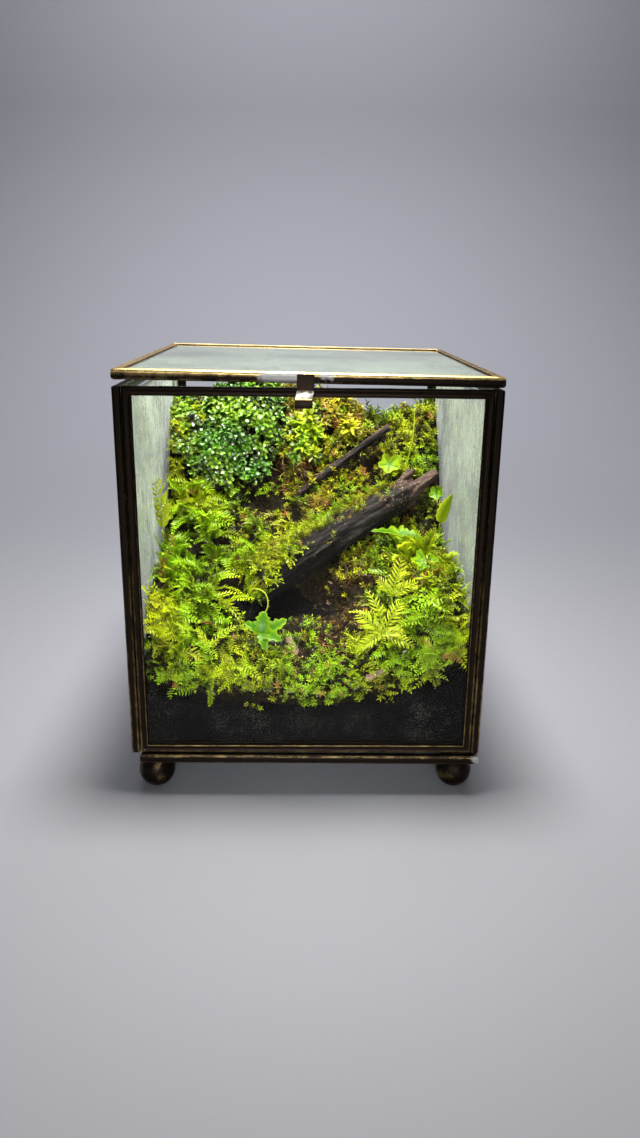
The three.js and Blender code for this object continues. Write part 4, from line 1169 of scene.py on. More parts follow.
# How each patch of moss grows: layers of (kinds, shoots in a square mm, smallest, largest, upward, lean,
# clump scale, gaps, material)
MOSS = {
    "moss_rosette_back_left": [
        (("rosette",), 0.42, 1.2, 1.9, 0.25, 0.45, 260, 0.36, "dark"),
        (("short_spray",), 0.12, 0.8, 1.3, 0.4, 0.6, 160, 0.52, "bright")],
    "moss_tuft_back_middle": [
        (("star", "fine"), 0.9, 0.9, 1.6, 0.5, 0.5, 260, 0.44, "olive"),
        (("star",), 0.25, 0.9, 1.6, 0.5, 0.5, 240, 0.5, "bright")],
    "moss_fine_back_right": [
        (("fine", "star"), 1.0, 0.9, 1.5, 0.4, 0.55, 240, 0.43, "bright"),
        (("short_spray",), 0.12, 0.8, 1.4, 0.5, 0.6, 200, 0.48, "bright")],
    "moss_feather_left": [
        (("spray", "plume"), 0.30, 0.75, 1.25, 0.3, 0.6, 190, 0.45, "bright"),
        (("short_spray", "star"), 0.45, 0.8, 1.4, 0.3, 0.6, 200, 0.46, "bright")],
    "moss_cushion_over_log": [
        (("short_spray", "spray"), 0.42, 0.8, 1.3, 0.3, 0.6, 200, 0.48, "bright"),
        (("fine",), 0.4, 0.9, 1.4, 0.3, 0.6, 240, 0.49, "olive")],
    "moss_between_wood": [
        (("fine", "star"), 0.7, 0.9, 1.4, 0.4, 0.5, 280, 0.42, "olive"),
        (("star", "short_spray"), 0.28, 0.9, 1.5, 0.4, 0.5, 240, 0.48, "bright"),
        (("wisp",), 0.6, 0.7, 1.1, 0.2, 0.7, 250, 0.5, "litter")],
    "moss_right_wall": [
        (("star", "fine"), 0.7, 0.9, 1.5, 0.4, 0.55, 240, 0.42, "bright"),
        (("spray",), 0.12, 0.8, 1.3, 0.4, 0.6, 190, 0.46, "bright"),
        (("wisp",), 0.2, 0.7, 1.1, 0.3, 0.7, 250, 0.5, "litter")],
    "moss_hollow_litter": [
        (("wisp", "flake"), 0.7, 0.5, 1.1, 0.1, 0.7, 280, 0.47, "litter"),
        (("fine",), 0.25, 0.7, 1.2, 0.2, 0.6, 240, 0.52, "olive"),
        (("flake",), 0.12, 0.3, 0.6, 0.1, 0.7, 300, 0.40, "pale")],
    "moss_left_bank": [
        (("plume", "spray"), 0.20, 0.7, 1.2, 0.35, 0.6, 180, 0.40, "bright"),
        (("star", "short_spray"), 0.6, 0.9, 1.5, 0.4, 0.55, 240, 0.44, "bright"),
        (("wisp",), 0.2, 0.7, 1.2, 0.3, 0.7, 220, 0.52, "litter")],
    "moss_front_carpet": [
        (("fine", "star"), 1.2, 0.75, 1.3, 0.35, 0.6, 260, 0.43, "bright"),
        (("fine",), 0.5, 0.7, 1.2, 0.35, 0.6, 200, 0.5, "olive"),
        (("flake", "wisp"), 0.3, 0.4, 0.8, 0.1, 0.6, 300, 0.48, "litter"),
        (("flake",), 0.25, 0.25, 0.5, 0.2, 0.7, 200, 0.44, "pale")],
    "moss_right_bank": [
        (("plume", "spray"), 0.18, 0.7, 1.2, 0.4, 0.6, 190, 0.40, "bright"),
        (("star", "short_spray"), 0.6, 0.9, 1.5, 0.4, 0.55, 240, 0.44, "bright")],
}

# Tufts that stand out: (patch, kinds, place, radius, shoots in a square mm, smallest, largest, upward,
# lean, material)
TUFTS = [
    ("moss_tuft_back_middle", ("needles",), (-0.5, 77.5), 3.2, 0.9, 0.9, 1.4, 0.6, 0.5, "bright"),
    ("moss_tuft_back_middle", ("wisp",), (-5.0, 71.5), 3.2, 4.0, 0.9, 1.5, 0.2, 0.6, "litter"),
    ("moss_tuft_back_middle", ("wisp",), (-4.0, 72.5), 3.0, 1.2, 0.9, 1.5, 0.2, 0.6, "pale"),
    ("moss_hollow_litter", ("fine", "star"), (13.0, 43.0), 5.5, 0.4, 0.8, 1.3, 0.2, 0.6, "olive"),
    ("moss_tuft_back_middle", ("needles",), (11.0, 84.0), 4.0, 0.5, 0.8, 1.2, 0.7, 0.5, "olive"),
    ("moss_rosette_back_left", ("short_spray", "star"), (-42, 76), 6.0, 0.7, 0.9, 1.4, 0.4, 0.5, "bright"),
    ("moss_rosette_back_left", ("short_spray",), (-44.0, 71.0), 4.0, 0.9, 0.9, 1.4, 0.4, 0.5, "bright"),
    ("moss_feather_left", ("plume",), (-38.0, 56.0), 7.0, 0.25, 0.8, 1.2, 0.3, 0.5, "bright"),
    ("moss_cushion_over_log", ("plume",), (-17.0, 41.0), 3.5, 0.4, 0.6, 0.9, 0.0, 0.4, "bright"),
    ("moss_cushion_over_log", ("spray",), (-9.0, 41.0), 4.0, 0.5, 0.8, 1.2, 0.1, 0.5, "bright"),
    ("moss_left_bank", ("plume",), (-40.0, 14.0), 5.0, 0.35, 0.8, 1.2, 0.5, 0.5, "bright"),
    ("moss_left_bank", ("plume",), (-32.0, 24.0), 6.0, 0.30, 0.8, 1.2, 0.4, 0.5, "bright"),
    ("moss_right_bank", ("plume",), (42.0, 10.0), 5.0, 0.40, 0.8, 1.2, 0.5, 0.5, "bright"),
    ("moss_right_bank", ("plume",), (43.5, 34.0), 5.0, 0.30, 0.8, 1.2, 0.5, 0.5, "bright"),
    ("moss_right_wall", ("plume",), (36.0, 47.0), 6.0, 0.20, 0.8, 1.2, 0.5, 0.5, "bright"),
    ("moss_front_carpet", ("short_spray",), (12.0, 6.0), 9.0, 0.22, 0.7, 1.1, 0.4, 0.5, "bright"),
    ("moss_front_carpet", ("star",), (-12.0, 5.0), 8.0, 0.35, 0.8, 1.2, 0.4, 0.5, "bright"),
    ("moss_front_carpet", ("flake", "wisp"), (3.0, 15.0), 6.0, 0.9, 0.4, 0.8, 0.1, 0.6, "litter"),
    ("moss_front_carpet", ("flake",), (1.0, 14.0), 7.0, 0.4, 0.25, 0.5, 0.2, 0.7, "pale"),
    ("moss_hollow_litter", ("wisp", "fine"), (14.0, 42.0), 7.0, 1.6, 0.7, 1.2, 0.2, 0.6, "litter"),
    ("moss_hollow_litter", ("wisp", "flake"), (7.0, 24.0), 7.0, 1.8, 0.6, 1.1, 0.2, 0.6, "litter"),
    ("moss_hollow_litter", ("fine",), (6.0, 21.0), 7.0, 0.8, 0.6, 1.0, 0.2, 0.6, "olive"),
]
SLOTS = {"moss_rosette_back_left": "moss_dark", "moss_tuft_back_middle": "moss_olive",
         "moss_between_wood": "moss_olive", "moss_hollow_litter": "moss_litter"}


def moss_material(tone):
    """The finish of one tone of moss: its deep colour, which is painted shade at the shoots' feet, and its
    tip, fresh and old colours, old share, patches and gloss.
    """
    name = f"Moss {tone}"
    look = settings().moss
    dry = settings().wood.litter
    tones = {
        "bright": (look.bright_deep, look.bright, look.fresh, look.dead, 0.03, 70.0, 0.05),
        "dark": (look.dark_deep, look.dark, look.dark_fresh, look.bright_deep, 0.1, 110.0, 0.25),
        "olive": (look.olive_deep, look.olive, look.bright, look.dead, 0.13, 90.0, 0.0),
        "litter": (look.mat, look.dead, look.crumbs, dry, 0.10, 160.0, 0.0),
        "pale": (dry, look.pale, look.olive, look.dead, 0.15, 160.0, 0.0),
    }
    return bpy.data.materials.get(name) or living_material(name, *tones[tone])


def join_meshes(name, pieces):
    """One piece from several, which are removed."""
    materials = []
    shape = bmesh.new()
    for piece in pieces:
        start_faces = len(shape.faces)
        shape.from_mesh(piece.data)
        shape.faces.ensure_lookup_table()
        offset = len(materials)
        for face in shape.faces[start_faces:]:
            face.material_index += offset
        materials.extend(piece.data.materials)
    mesh = bpy.data.meshes.new(name)
    shape.to_mesh(mesh)
    shape.free()
    for material in materials:
        mesh.materials.append(material)
    for piece in pieces:
        bpy.data.objects.remove(piece)
    return link_piece(name, mesh)


class PLANTEDBOX_OT_ground(bpy.types.Operator):
    """Lays the mat that the moss grows from, near black as painted shade in the gaps between the shoots"""
    bl_idname = "plantedbox.ground"
    bl_label = "Ground mat"

    def execute(self, context):
        land, places, _ = ground()
        top = places.reshape(-1, 3)
        thick = 2.2 * MM
        under = top - np.array(SLOPE_OUT) * thick
        under[:, 1] = under[:, 1].clip(land.low.y, land.high.y)
        count = len(top)
        faces = ground_faces(land)
        faces += [tuple(count + v for v in reversed(face)) for face in faces]
        # The walls that join the two, round the border
        grid = np.arange(count).reshape(land.columns, land.rows)
        border = np.concatenate([grid[:-1, 0], grid[-1, :-1], grid[:0:-1, -1], grid[0, :0:-1]]).tolist()
        faces += [(a, a + count, b + count, b) for a, b in zip(border, border[1:] + border[:1])]
        mesh = mesh_of("moss_mat", np.vstack([top, under]), faces)
        mesh.shade_smooth()
        look = settings().moss
        # The mat's near-black colour is painted shade in the gaps between the shoots.
        material, tree, shader = new_material("Moss mat", 0.9, Specular_IOR_Level=0.12)
        crumbs = object_noise(tree, 900.0, 5.0, roughness=0.7)
        tree.links.new(mixed(tree, between(tree, crumbs, 0.45, 0.75), rgba(look.mat), rgba(look.crumbs)),
                       shader.inputs["Base Color"])
        bump(tree, shader, crumbs, 0.0008, 1.0)
        finish_piece(link_piece("moss_mat", mesh, material), CASE_BODY, "moss_litter")
        return {"FINISHED"}


class PLANTEDBOX_OT_moss(bpy.types.Operator):
    """Grows each patch of moss over the ground"""
    bl_idname = "plantedbox.moss"
    bl_label = "Moss"

    def execute(self, context):
        land, places, growth = ground()
        for index, node in enumerate(land.patches):
            layers = []
            for number, (kinds, *values) in enumerate(MOSS[node]):
                mesh = mesh_of("host", places.reshape(-1, 3), ground_faces(land, index),
                               {"growth": growth.reshape(-1)})
                layers.append(grow(f"{node}_layer_{number}", mesh, kinds, *values, 10 * index + number))
            for number, (patch, *values) in enumerate(TUFTS):
                if patch == node:
                    layers.append(self.tuft(number, *values))
            if node == "moss_cushion_over_log":
                layers += self.over_the_log()
            piece = join_meshes(node.replace("moss_", "growing_"), layers)
            kept_inside(piece.data)
            finish_piece(piece, CASE_BODY, SLOTS.get(node, "moss_bright"), node)
        return {"FINISHED"}

    def tuft(self, number, kinds, middle, radius, density, small, large, upward, lean, tone):
        """A tuft round one place of the ground, whatever patch it reaches into."""
        land, places, growth = ground()
        away = np.linalg.norm(places[:, :, :2] - np.array(place(*middle, 0))[:2], axis=2) / (radius * MM)
        thick = np.exp(-away ** 2) * growth
        faces = [f for f in ground_faces(land) if away.flat[f[0]] < 2]
        mesh = mesh_of("host", places.reshape(-1, 3), faces, {"growth": thick.reshape(-1)})
        return grow(f"tuft_{number}", mesh, kinds, density, small, large, upward, lean, 300, 0.2, tone,
                    300 + number)

    def over_the_log(self):
        """Moss on the log: thick over its low end, then only along its upper edge."""
        source = bpy.data.objects["bark_log"].data
        a, b = place(*LOG_START), place(*LOG_END)
        axis = (b - a).normalized()
        places, normals = corners_of(source), corner_normals(source)
        along = (places - np.array(a)) @ np.array(axis) / (b - a).length
        ragged = np.array([noise.noise(Vector(p) * 260) for p in places])
        back_top = normals @ np.array((-0.35, 0.35, 0.87))
        low_end = 2.4 * (0.24 - along).clip(0, 1)
        thick = ((0.30 + 0.10 * ragged - along) / 0.10).clip(0, 1)
        thick *= ((back_top - 0.35 + low_end + 0.3 * ragged) / 0.3).clip(0, 1)
        edge = ((back_top - 0.55 - 0.22 * along + 0.35 * ragged) / 0.15).clip(0, 1)
        edge *= ((0.95 - along) / 0.08).clip(0, 1)
        layers = []
        for number, (kinds, growth, density, small, large, tone) in enumerate((
                (("short_spray", "fine"), thick, 1.6, 0.7, 1.15, "bright"),
                (("plume",), thick * (along < 0.2), 0.12, 0.5, 0.7, "bright"),
                (("fine",), edge * (1 - thick), 3.2, 0.40, 0.8, "olive"),
                (("fine", "star"), edge * ((1.1 - along) / 0.5).clip(0, 1), 1.8, 0.6, 1.0, "bright"),
                # Pale flakes along the upper edge and at the far end: dry flecks, and a painted glint of the
                # lit edge.
                (("flake",), edge + 0.25 * (along > 0.8), 1.2, 0.18, 0.4, "pale"))):
            mesh = source.copy()
            store(mesh, {"growth": growth})
            layers.append(grow(f"log_layer_{number}", mesh, kinds, density, small, large, 0.5, 0.6, 320, 0.3,
                               tone, 200 + number))
        return layers


# The lines that the thin stem and the curled rootlet follow
STEM_LINE = ((33.4, 77, 65.5), (34.4, 74.2, 70), (35.4, 74.2, 75), (36.4, 75.8, 80), (36.9, 77.6, 84.5),
             (36.8, 79, 87.5), (37.3, 78.8, 89.4))
ROOTLET_LINE = ((-18.5, 27, 37), (-16.6, 24, 41.6), (-12.6, 22.2, 41.2), (-11.6, 20.6, 37.4), (-14, 21, 32.6))


def curve_points(start, by, end, count):
    """Points along the bend that starts and ends at two points and leans through a third."""
    return [start * (1 - t) ** 2 + by * 2 * t * (1 - t) + end * t ** 2
            for t in (i / (count - 1) for i in range(count))]


# Fronds: name, foot on the slope, neck, the way they face, and for each arm its bend, tip and reach
FRONDS = {
    "frond_star": ((21.6, 12.5), (21.6, 10.5, 32.8), (0.1, -0.8, 0.6), [
        ((18.5, 10.6, 36), (14.2, 13, 38.8), 2.1), ((21.8, 13, 40), (16.8, 18.5, 44.4), 1.7),
        ((24.8, 11.5, 38), (27.8, 15.5, 41.8), 1.9), ((24.8, 8.6, 34.4), (27.6, 8.6, 34), 1.6),
        ((26.6, 7.8, 32.4), (31.2, 6.6, 30.2), 1.6), ((18, 8, 32), (14.4, 7.6, 29.2), 1.7)]),
    "frond_upright": ((25.4, 23), (25.2, 20.6, 41), (0.1, -0.85, 0.5), [
        ((26.4, 20.8, 46.5), (28.4, 24.4, 52.5), 2.0), ((23, 19.4, 44.6), (20.6, 20, 46.6), 1.5),
        ((29, 20, 43.8), (33.2, 22.6, 45), 1.7)]),
    "frond_low_right": ((36.4, 7.4), (36, 5.8, 28.4), (0, -0.8, 0.6), [
        ((34.4, 5.4, 31.6), (32.2, 6.4, 33.8), 1.4), ((38.2, 5.6, 32.2), (39.9, 7.2, 35), 1.5),
        ((40, 4.6, 29.6), (43.8, 4.8, 28.6), 1.4)]),
    "frond_arch_left": ((-39.2, 8), (-39, 5.8, 30.4), (0.6, -0.7, 0.4), [
        ((-39.4, 7.4, 38.4), (-32.8, 13.5, 43.2), 1.8)]),
    "frond_arch_low": ((-36.4, 6), (-36, 4.6, 28), (0, -0.6, 0.8), [
        ((-32.4, 4.8, 31.4), (-29, 4.8, 25.6), 1.6)]),
    "frond_arch_middle": ((-27.8, 9.6), (-27.8, 7.2, 29.6), (0, -0.6, 0.8), [
        ((-24, 7.6, 34.6), (-19.6, 9.6, 35.6), 1.2), ((-29.6, 6.4, 33.2), (-31.4, 7.6, 36), 1.1)]),
    "frond_left_edge": ((-45.4, 44), (-45.6, 41.6, 55.5), (0.3, -0.9, 0.3), [
        ((-45.3, 39, 64), (-46.2, 31.5, 74.5), 3.3), ((-45, 40, 60), (-44.6, 36, 68), 2.2)]),
}

# Small leaves: foot, neck, facing, round lobed leaves (radius, lobes, turn) and
# long toothed ones (bend, tip, reach, teeth, how deep the teeth are)
LEAVES = {
    "leaf_cluster": ((-13.4, 15), (-12.8, 12, 32.2), (0, -0.75, 0.66), [], [
        ((-9.4, 11.6, 34.4), (-5.8, 13, 36.2), 2.3, 4, 0.38),
        ((-12.8, 12.6, 35.6), (-12.6, 14.8, 38.0), 2.7, 4, 0.38),
        ((-10, 9.8, 32.8), (-7.4, 8.8, 31.2), 2.2, 3, 0.38),
        ((-12.6, 9, 31.6), (-11.6, 8, 28.4), 2.0, 3, 0.38),
        ((-15.2, 12, 34.4), (-18, 12.8, 35.2), 1.9, 3, 0.38)]),
    "leaf_upper": ((29.5, 74), (27.9, 68.6, 71.4), (-0.1, -0.8, 0.6), [(4.0, 5, 0.2)], []),
    "leaf_right_wall": ((44, 70.4), (43.6, 63.4, 62.6), (-0.3, -0.8, 0.5), [(2.7, 5, 0.5)], []),
    "leaf_clover": ((38, 42), (36.9, 35.2, 47.2), (-0.1, -0.6, 0.8), [(4.6, 6, 0.1)], []),
    "leaf_under_log": ((30, 54), (29.6, 49.5, 52.2), (0, -0.5, 0.85), [(3.7, 5, 0.6)], [
        ((25, 47, 54), (20.4, 45.6, 54), 1.5, 3, 0.5), ((33.4, 48, 52.6), (37, 46.6, 51.4), 2.3, 3, 0.45)]),
    "leaf_oval": ((44.6, 63), (43.8, 54, 55), (-0.3, -0.95, 0.2), [], [
        ((44.6, 51, 60.6), (46.6, 46, 66.4), 2.3, 5, 0.18)]),
}


def rooted_stem(shoot, node, foot, neck):
    """The stem of a plant, from inside the moss to its neck."""
    low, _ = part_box(node)
    ground_height = (low.z - ORIGIN.z) / MM
    start = Vector((foot[0], foot[1] + 1.2, ground_height))
    middle = (start + neck) / 2 + Vector((0.3, -0.4, 0.2))
    shoot.stem(curve_points(start, middle, neck, 6), 0.42, (0.0, 0.5), sides=6, taper=0.45)


def feathery_arm(shoot, draw, neck, by, end, face, reach):
    """An arm of a frond: a stalk with many curved leaflets in two rows, and a few on top."""
    pairs = 9
    line = curve_points(neck, by, end, 2 * pairs + 3)
    shoot.stem(line[::3] + [end], 0.22, (0.1, 0.9), sides=5, taper=0.8)
    for k in range(1, 2 * pairs + 1):
        share = k / (2 * pairs)
        along = (line[k + 1] - line[k - 1]).normalized()
        side = along.cross(face).normalized()
        rise = side.cross(along)
        size = reach * (0.55 + 0.95 * math.sin(math.pi * min(1, 0.12 + 0.88 * share)) ** 0.7)
        size *= draw.uniform(0.85, 1.15)
        for hand in ((-1, 1) if k % 2 else ()):
            out = (along * draw.uniform(0.5, 0.9) + side * hand + rise * draw.uniform(-0.2, 0.5)).normalized()
            root = line[k]
            bend = root + out * size * 0.5 + rise * size * 0.14
            tip = root + out * size + along * size * 0.22 - rise * size * 0.2
            leaf = curve_points(root, bend, tip, 4)
            widths = [0.0, 0.24 * size, 0.17 * size, 0.0]
            shoot.ribbon(leaf, widths, face, 0.10, 0.10, (0.5 + 0.3 * share, 0.8 + 0.2 * share))
        if k % 2 == 0:
            tilt = side * draw.uniform(-0.8, 0.8)
            shoot.blade(line[k], along + rise * 0.8 + tilt, face, 0.7 * reach, 0.16 * reach, tips=(0.4, 0.9))


def toothed_blade(shoot, neck, by, end, face, reach, teeth, deep):
    """A long leaf with a toothed edge."""
    stations = 4 * teeth + 3
    line = curve_points(neck, by, end, stations)
    widths = []
    for i in range(stations):
        share = i / (stations - 1)
        body = math.sin(math.pi * min(1.0, 0.06 + 0.94 * share ** 0.8)) ** 0.6
        tooth = 1 - deep * (0.5 - 0.5 * math.cos(2 * math.pi * i / 4))
        widths.append(2.0 * reach * body * tooth)
    shoot.ribbon(line, widths, face, 0.22, 0.2, (0.75, 1.0), midrib=0.1)


@made_once("materials", "Small leaf")
def leaf_material(name):
    look = settings().plant
    return living_material(name, look.leaf_vein, look.leaf, look.leaf_fresh, look.frond, 0.0, 60.0, 0.0, 0.25)


@made_once("materials", "Ferny frond")
def frond_material(name):
    look = settings().plant
    return living_material(name, look.frond_deep, look.frond, look.frond_fresh, look.frond_deep,
                           0.0, 90.0, 0.0, 0.35)


class PLANTEDBOX_OT_fronds(bpy.types.Operator):
    """Grows the ferny fronds"""
    bl_idname = "plantedbox.fronds"
    bl_label = "Fronds"

    def execute(self, context):
        for node, (foot, neck, face, arms) in FRONDS.items():
            draw, shoot = random.Random(node), Foliage()
            rooted_stem(shoot, node, foot, Vector(neck))
            for by, end, reach in arms:
                feathery_arm(shoot, draw, Vector(neck), Vector(by), Vector(end), Vector(face), reach)
            piece = shoot.piece(node.replace("frond", "feathery"), frond_material())
            kept_inside(piece.data)
            finish_piece(piece, CASE_BODY, "frond", node)
        return {"FINISHED"}


class PLANTEDBOX_OT_leaves(bpy.types.Operator):
    """Grows the small lobed and toothed leaves, the thin stem and the curled rootlet"""
    bl_idname = "plantedbox.leaves"
    bl_label = "Leaves"

    def execute(self, context):
        for node, (foot, neck, face, rounds, blades) in LEAVES.items():
            shoot = Foliage()
            rooted_stem(shoot, node, foot, Vector(neck))
            for radius, lobes, turn in rounds:
                shoot.lobed(Vector(neck), Vector(face), radius, lobes, turn)
            for by, end, reach, teeth, deep in blades:
                toothed_blade(shoot, Vector(neck), Vector(by), Vector(end), Vector(face), reach, teeth, deep)
            # The oval leaf takes the brighter frond finish: painted light standing in for the light that
            # shines through it.
            material = frond_material() if node == "leaf_oval" else leaf_material()
            piece = shoot.piece(node.replace("leaf", "leaves"), material)
            kept_inside(piece.data)
            finish_piece(piece, CASE_BODY, "leaf", node)

        thin = Foliage()
        line = [Vector(p) for p in STEM_LINE]
        thin.stem(line, 0.27, (0.5, 1.0), sides=6, taper=0.4)
        draw = random.Random(5)
        for k in range(9):
            way = outward(GOLDEN * k, 0.7)
            length = draw.uniform(1.0, 1.7)
            thin.blade(line[-1 - k // 4], way, Vector((0, -1, 0.3)), length, 0.5, tips=(0.5, 1.0))
        finish_piece(thin.piece("thin_stem", frond_material()), CASE_BODY, "stem", "stem_upright")

        curl = Foliage()
        line = smooth_line([Vector(p) for p in ROOTLET_LINE], 6)
        curl.stem(line, 0.3, (0.2, 0.9), sides=6, taper=0.5)
        for k in range(6, len(line) - 2, 2):
            curl.blade(line[k], outward(GOLDEN * k, 0.3), UP, 0.9, 0.25, tips=(0.4, 0.9))
        finish_piece(curl.piece("curled_rootlet", frond_material()), CASE_BODY, "litter", "rootlet_curled")

        dry = Foliage()
        stray = random.Random(8)
        climb = [Vector((-46.3 + stray.uniform(-0.1, 0.1), 84 + stray.uniform(-0.9, 0.9), 68 + 2.2 * k))
                 for k in range(16)]
        dry.stem(climb, 0.3, (0.0, 0.5), sides=5, taper=0.3)
        for spot in climb[1:-1]:
            way = Vector((0.2, stray.choice((-1, 1)), stray.uniform(-0.3, 0.6)))
            dry.blade(spot, way, UP, stray.uniform(0.8, 1.6), 0.4, tips=(0.2, 0.9))
        finish_piece(dry.piece("dry_rootlet", litter_material()), CASE_BODY, "litter")
        return {"FINISHED"}


def smooth_line(bends, steps):
    """A smooth line through every point."""
    line = []
    for i in range(len(bends) - 1):
        a, b = bends[max(i - 1, 0)], bends[i]
        c, d = bends[i + 1], bends[min(i + 2, len(bends) - 1)]
        for k in range(steps):
            t = k / steps
            line.append(0.5 * ((2 * b) + (c - a) * t + (2 * a - 5 * b + 4 * c - d) * t ** 2
                               + (3 * b - a - 3 * c + d) * t ** 3))
    return line + [bends[-1]]


@made_once("materials", "Dry litter")
def litter_material(name):
    """Dry bark and leaf scraps, streaked and blotched."""
    look = settings().wood
    material, tree, shader = new_material(name, 0.8)
    where = on_piece(tree)
    grain = object_noise(tree, 1500.0, 4.0, where, 0.7)
    blotch = object_noise(tree, 400.0, 2.0, where)
    pale = mixed(tree, between(tree, grain, 0.3, 0.7), rgba(look.ridge), rgba(look.litter))
    tree.links.new(mixed(tree, between(tree, blotch, 0.45, 0.65, 0.0, 0.7), pale, rgba(look.broken)),
                   shader.inputs["Base Color"])
    bump(tree, shader, grain, 0.0002, 0.8)
    return material


class PLANTEDBOX_OT_litter(bpy.types.Operator):
    """Lays the flakes of dry litter"""
    bl_idname = "plantedbox.litter"
    bl_label = "Litter"

    def execute(self, context):
        # Each flake's long way, its length and its width
        flakes = {"litter_chip_right": ((0.94, 0.2, 0.28), 7.0, 2.2),
                  "litter_chip_middle": ((-0.42, 0.64, 0.64), 6.2, 2.0)}
        for node, (way, length, width) in flakes.items():
            draw, shoot = random.Random(node), Foliage()
            low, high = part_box(node)
            middle = ((low + high) / 2 - ORIGIN) / MM
            way = Vector(way).normalized()
            face = Vector((0.1, -0.6, 0.8))
            stations = 12
            for layer in range(3):
                offset = Vector((draw.uniform(-0.5, 0.5), draw.uniform(-0.3, 0.3), 0.25 * layer))
                reach = length * (1 - 0.22 * layer)
                line = [middle + offset + way * reach * (i / (stations - 1) - 0.5)
                        + face * 0.9 * math.sin(math.pi * i / (stations - 1)) * (0.4 + 0.2 * layer)
                        for i in range(stations)]
                widths = [width * (1 - 0.3 * layer) * draw.uniform(0.55, 1.1) for _ in range(stations)]
                shoot.ribbon(line, widths, face, 0.25, draw.uniform(-0.2, 0.2))
            piece = shoot.piece(node.replace("chip", "flake"), litter_material())
            finish_piece(piece, CASE_BODY, "litter", node)
        return {"FINISHED"}


class PLANTEDBOX_OT_brass(bpy.types.Operator):
    """Builds the brass channel, feet, tab and hinge"""
    bl_idname = "plantedbox.brass"
    bl_label = "Brass"

    def execute(self, context):
        for side in ("front", "back", "left", "right"):
            channel_ring(f"frame_{side}", f"channel_{side}", CASE_BODY, (0.50, 0.16), 0.25)
        low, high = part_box("frame_base")
        drip = [(Vector((high.x, low.y, (low.z + high.z) / 2)), 3 * MM, 1.2)]
        channel_ring("frame_base", "channel_base", CASE_BODY, (0.4, 0.2), 0.25, drip)
        low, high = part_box("lid_frame")
        smears = [(Vector((-0.007, low.y, high.z)), 8 * MM, 1.3),
                  (Vector((0.004, low.y, high.z)), 4 * MM, 1.0)]
        channel_ring("lid_frame", "channel_lid", LID_BODY, (0.12, 1.0), 0.35, smears)
        for node in [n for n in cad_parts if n.startswith("foot_")]:
            ball_foot(node, node.replace("foot_", "ball_"))
        rounded_metal("lid_tab", "thumb_tab", LID_BODY, 0.16 * MM, 0.1)
        rounded_metal("hinge_lid_leaf", "hinge_leaf_upper", LID_BODY, 0.08 * MM)
        rounded_metal("hinge_case_leaf", "hinge_leaf_lower", CASE_BODY, 0.08 * MM)
        rounded_metal("hinge_pin", "hinge_rod", CASE_BODY, 0.08 * MM)
        return {"FINISHED"}


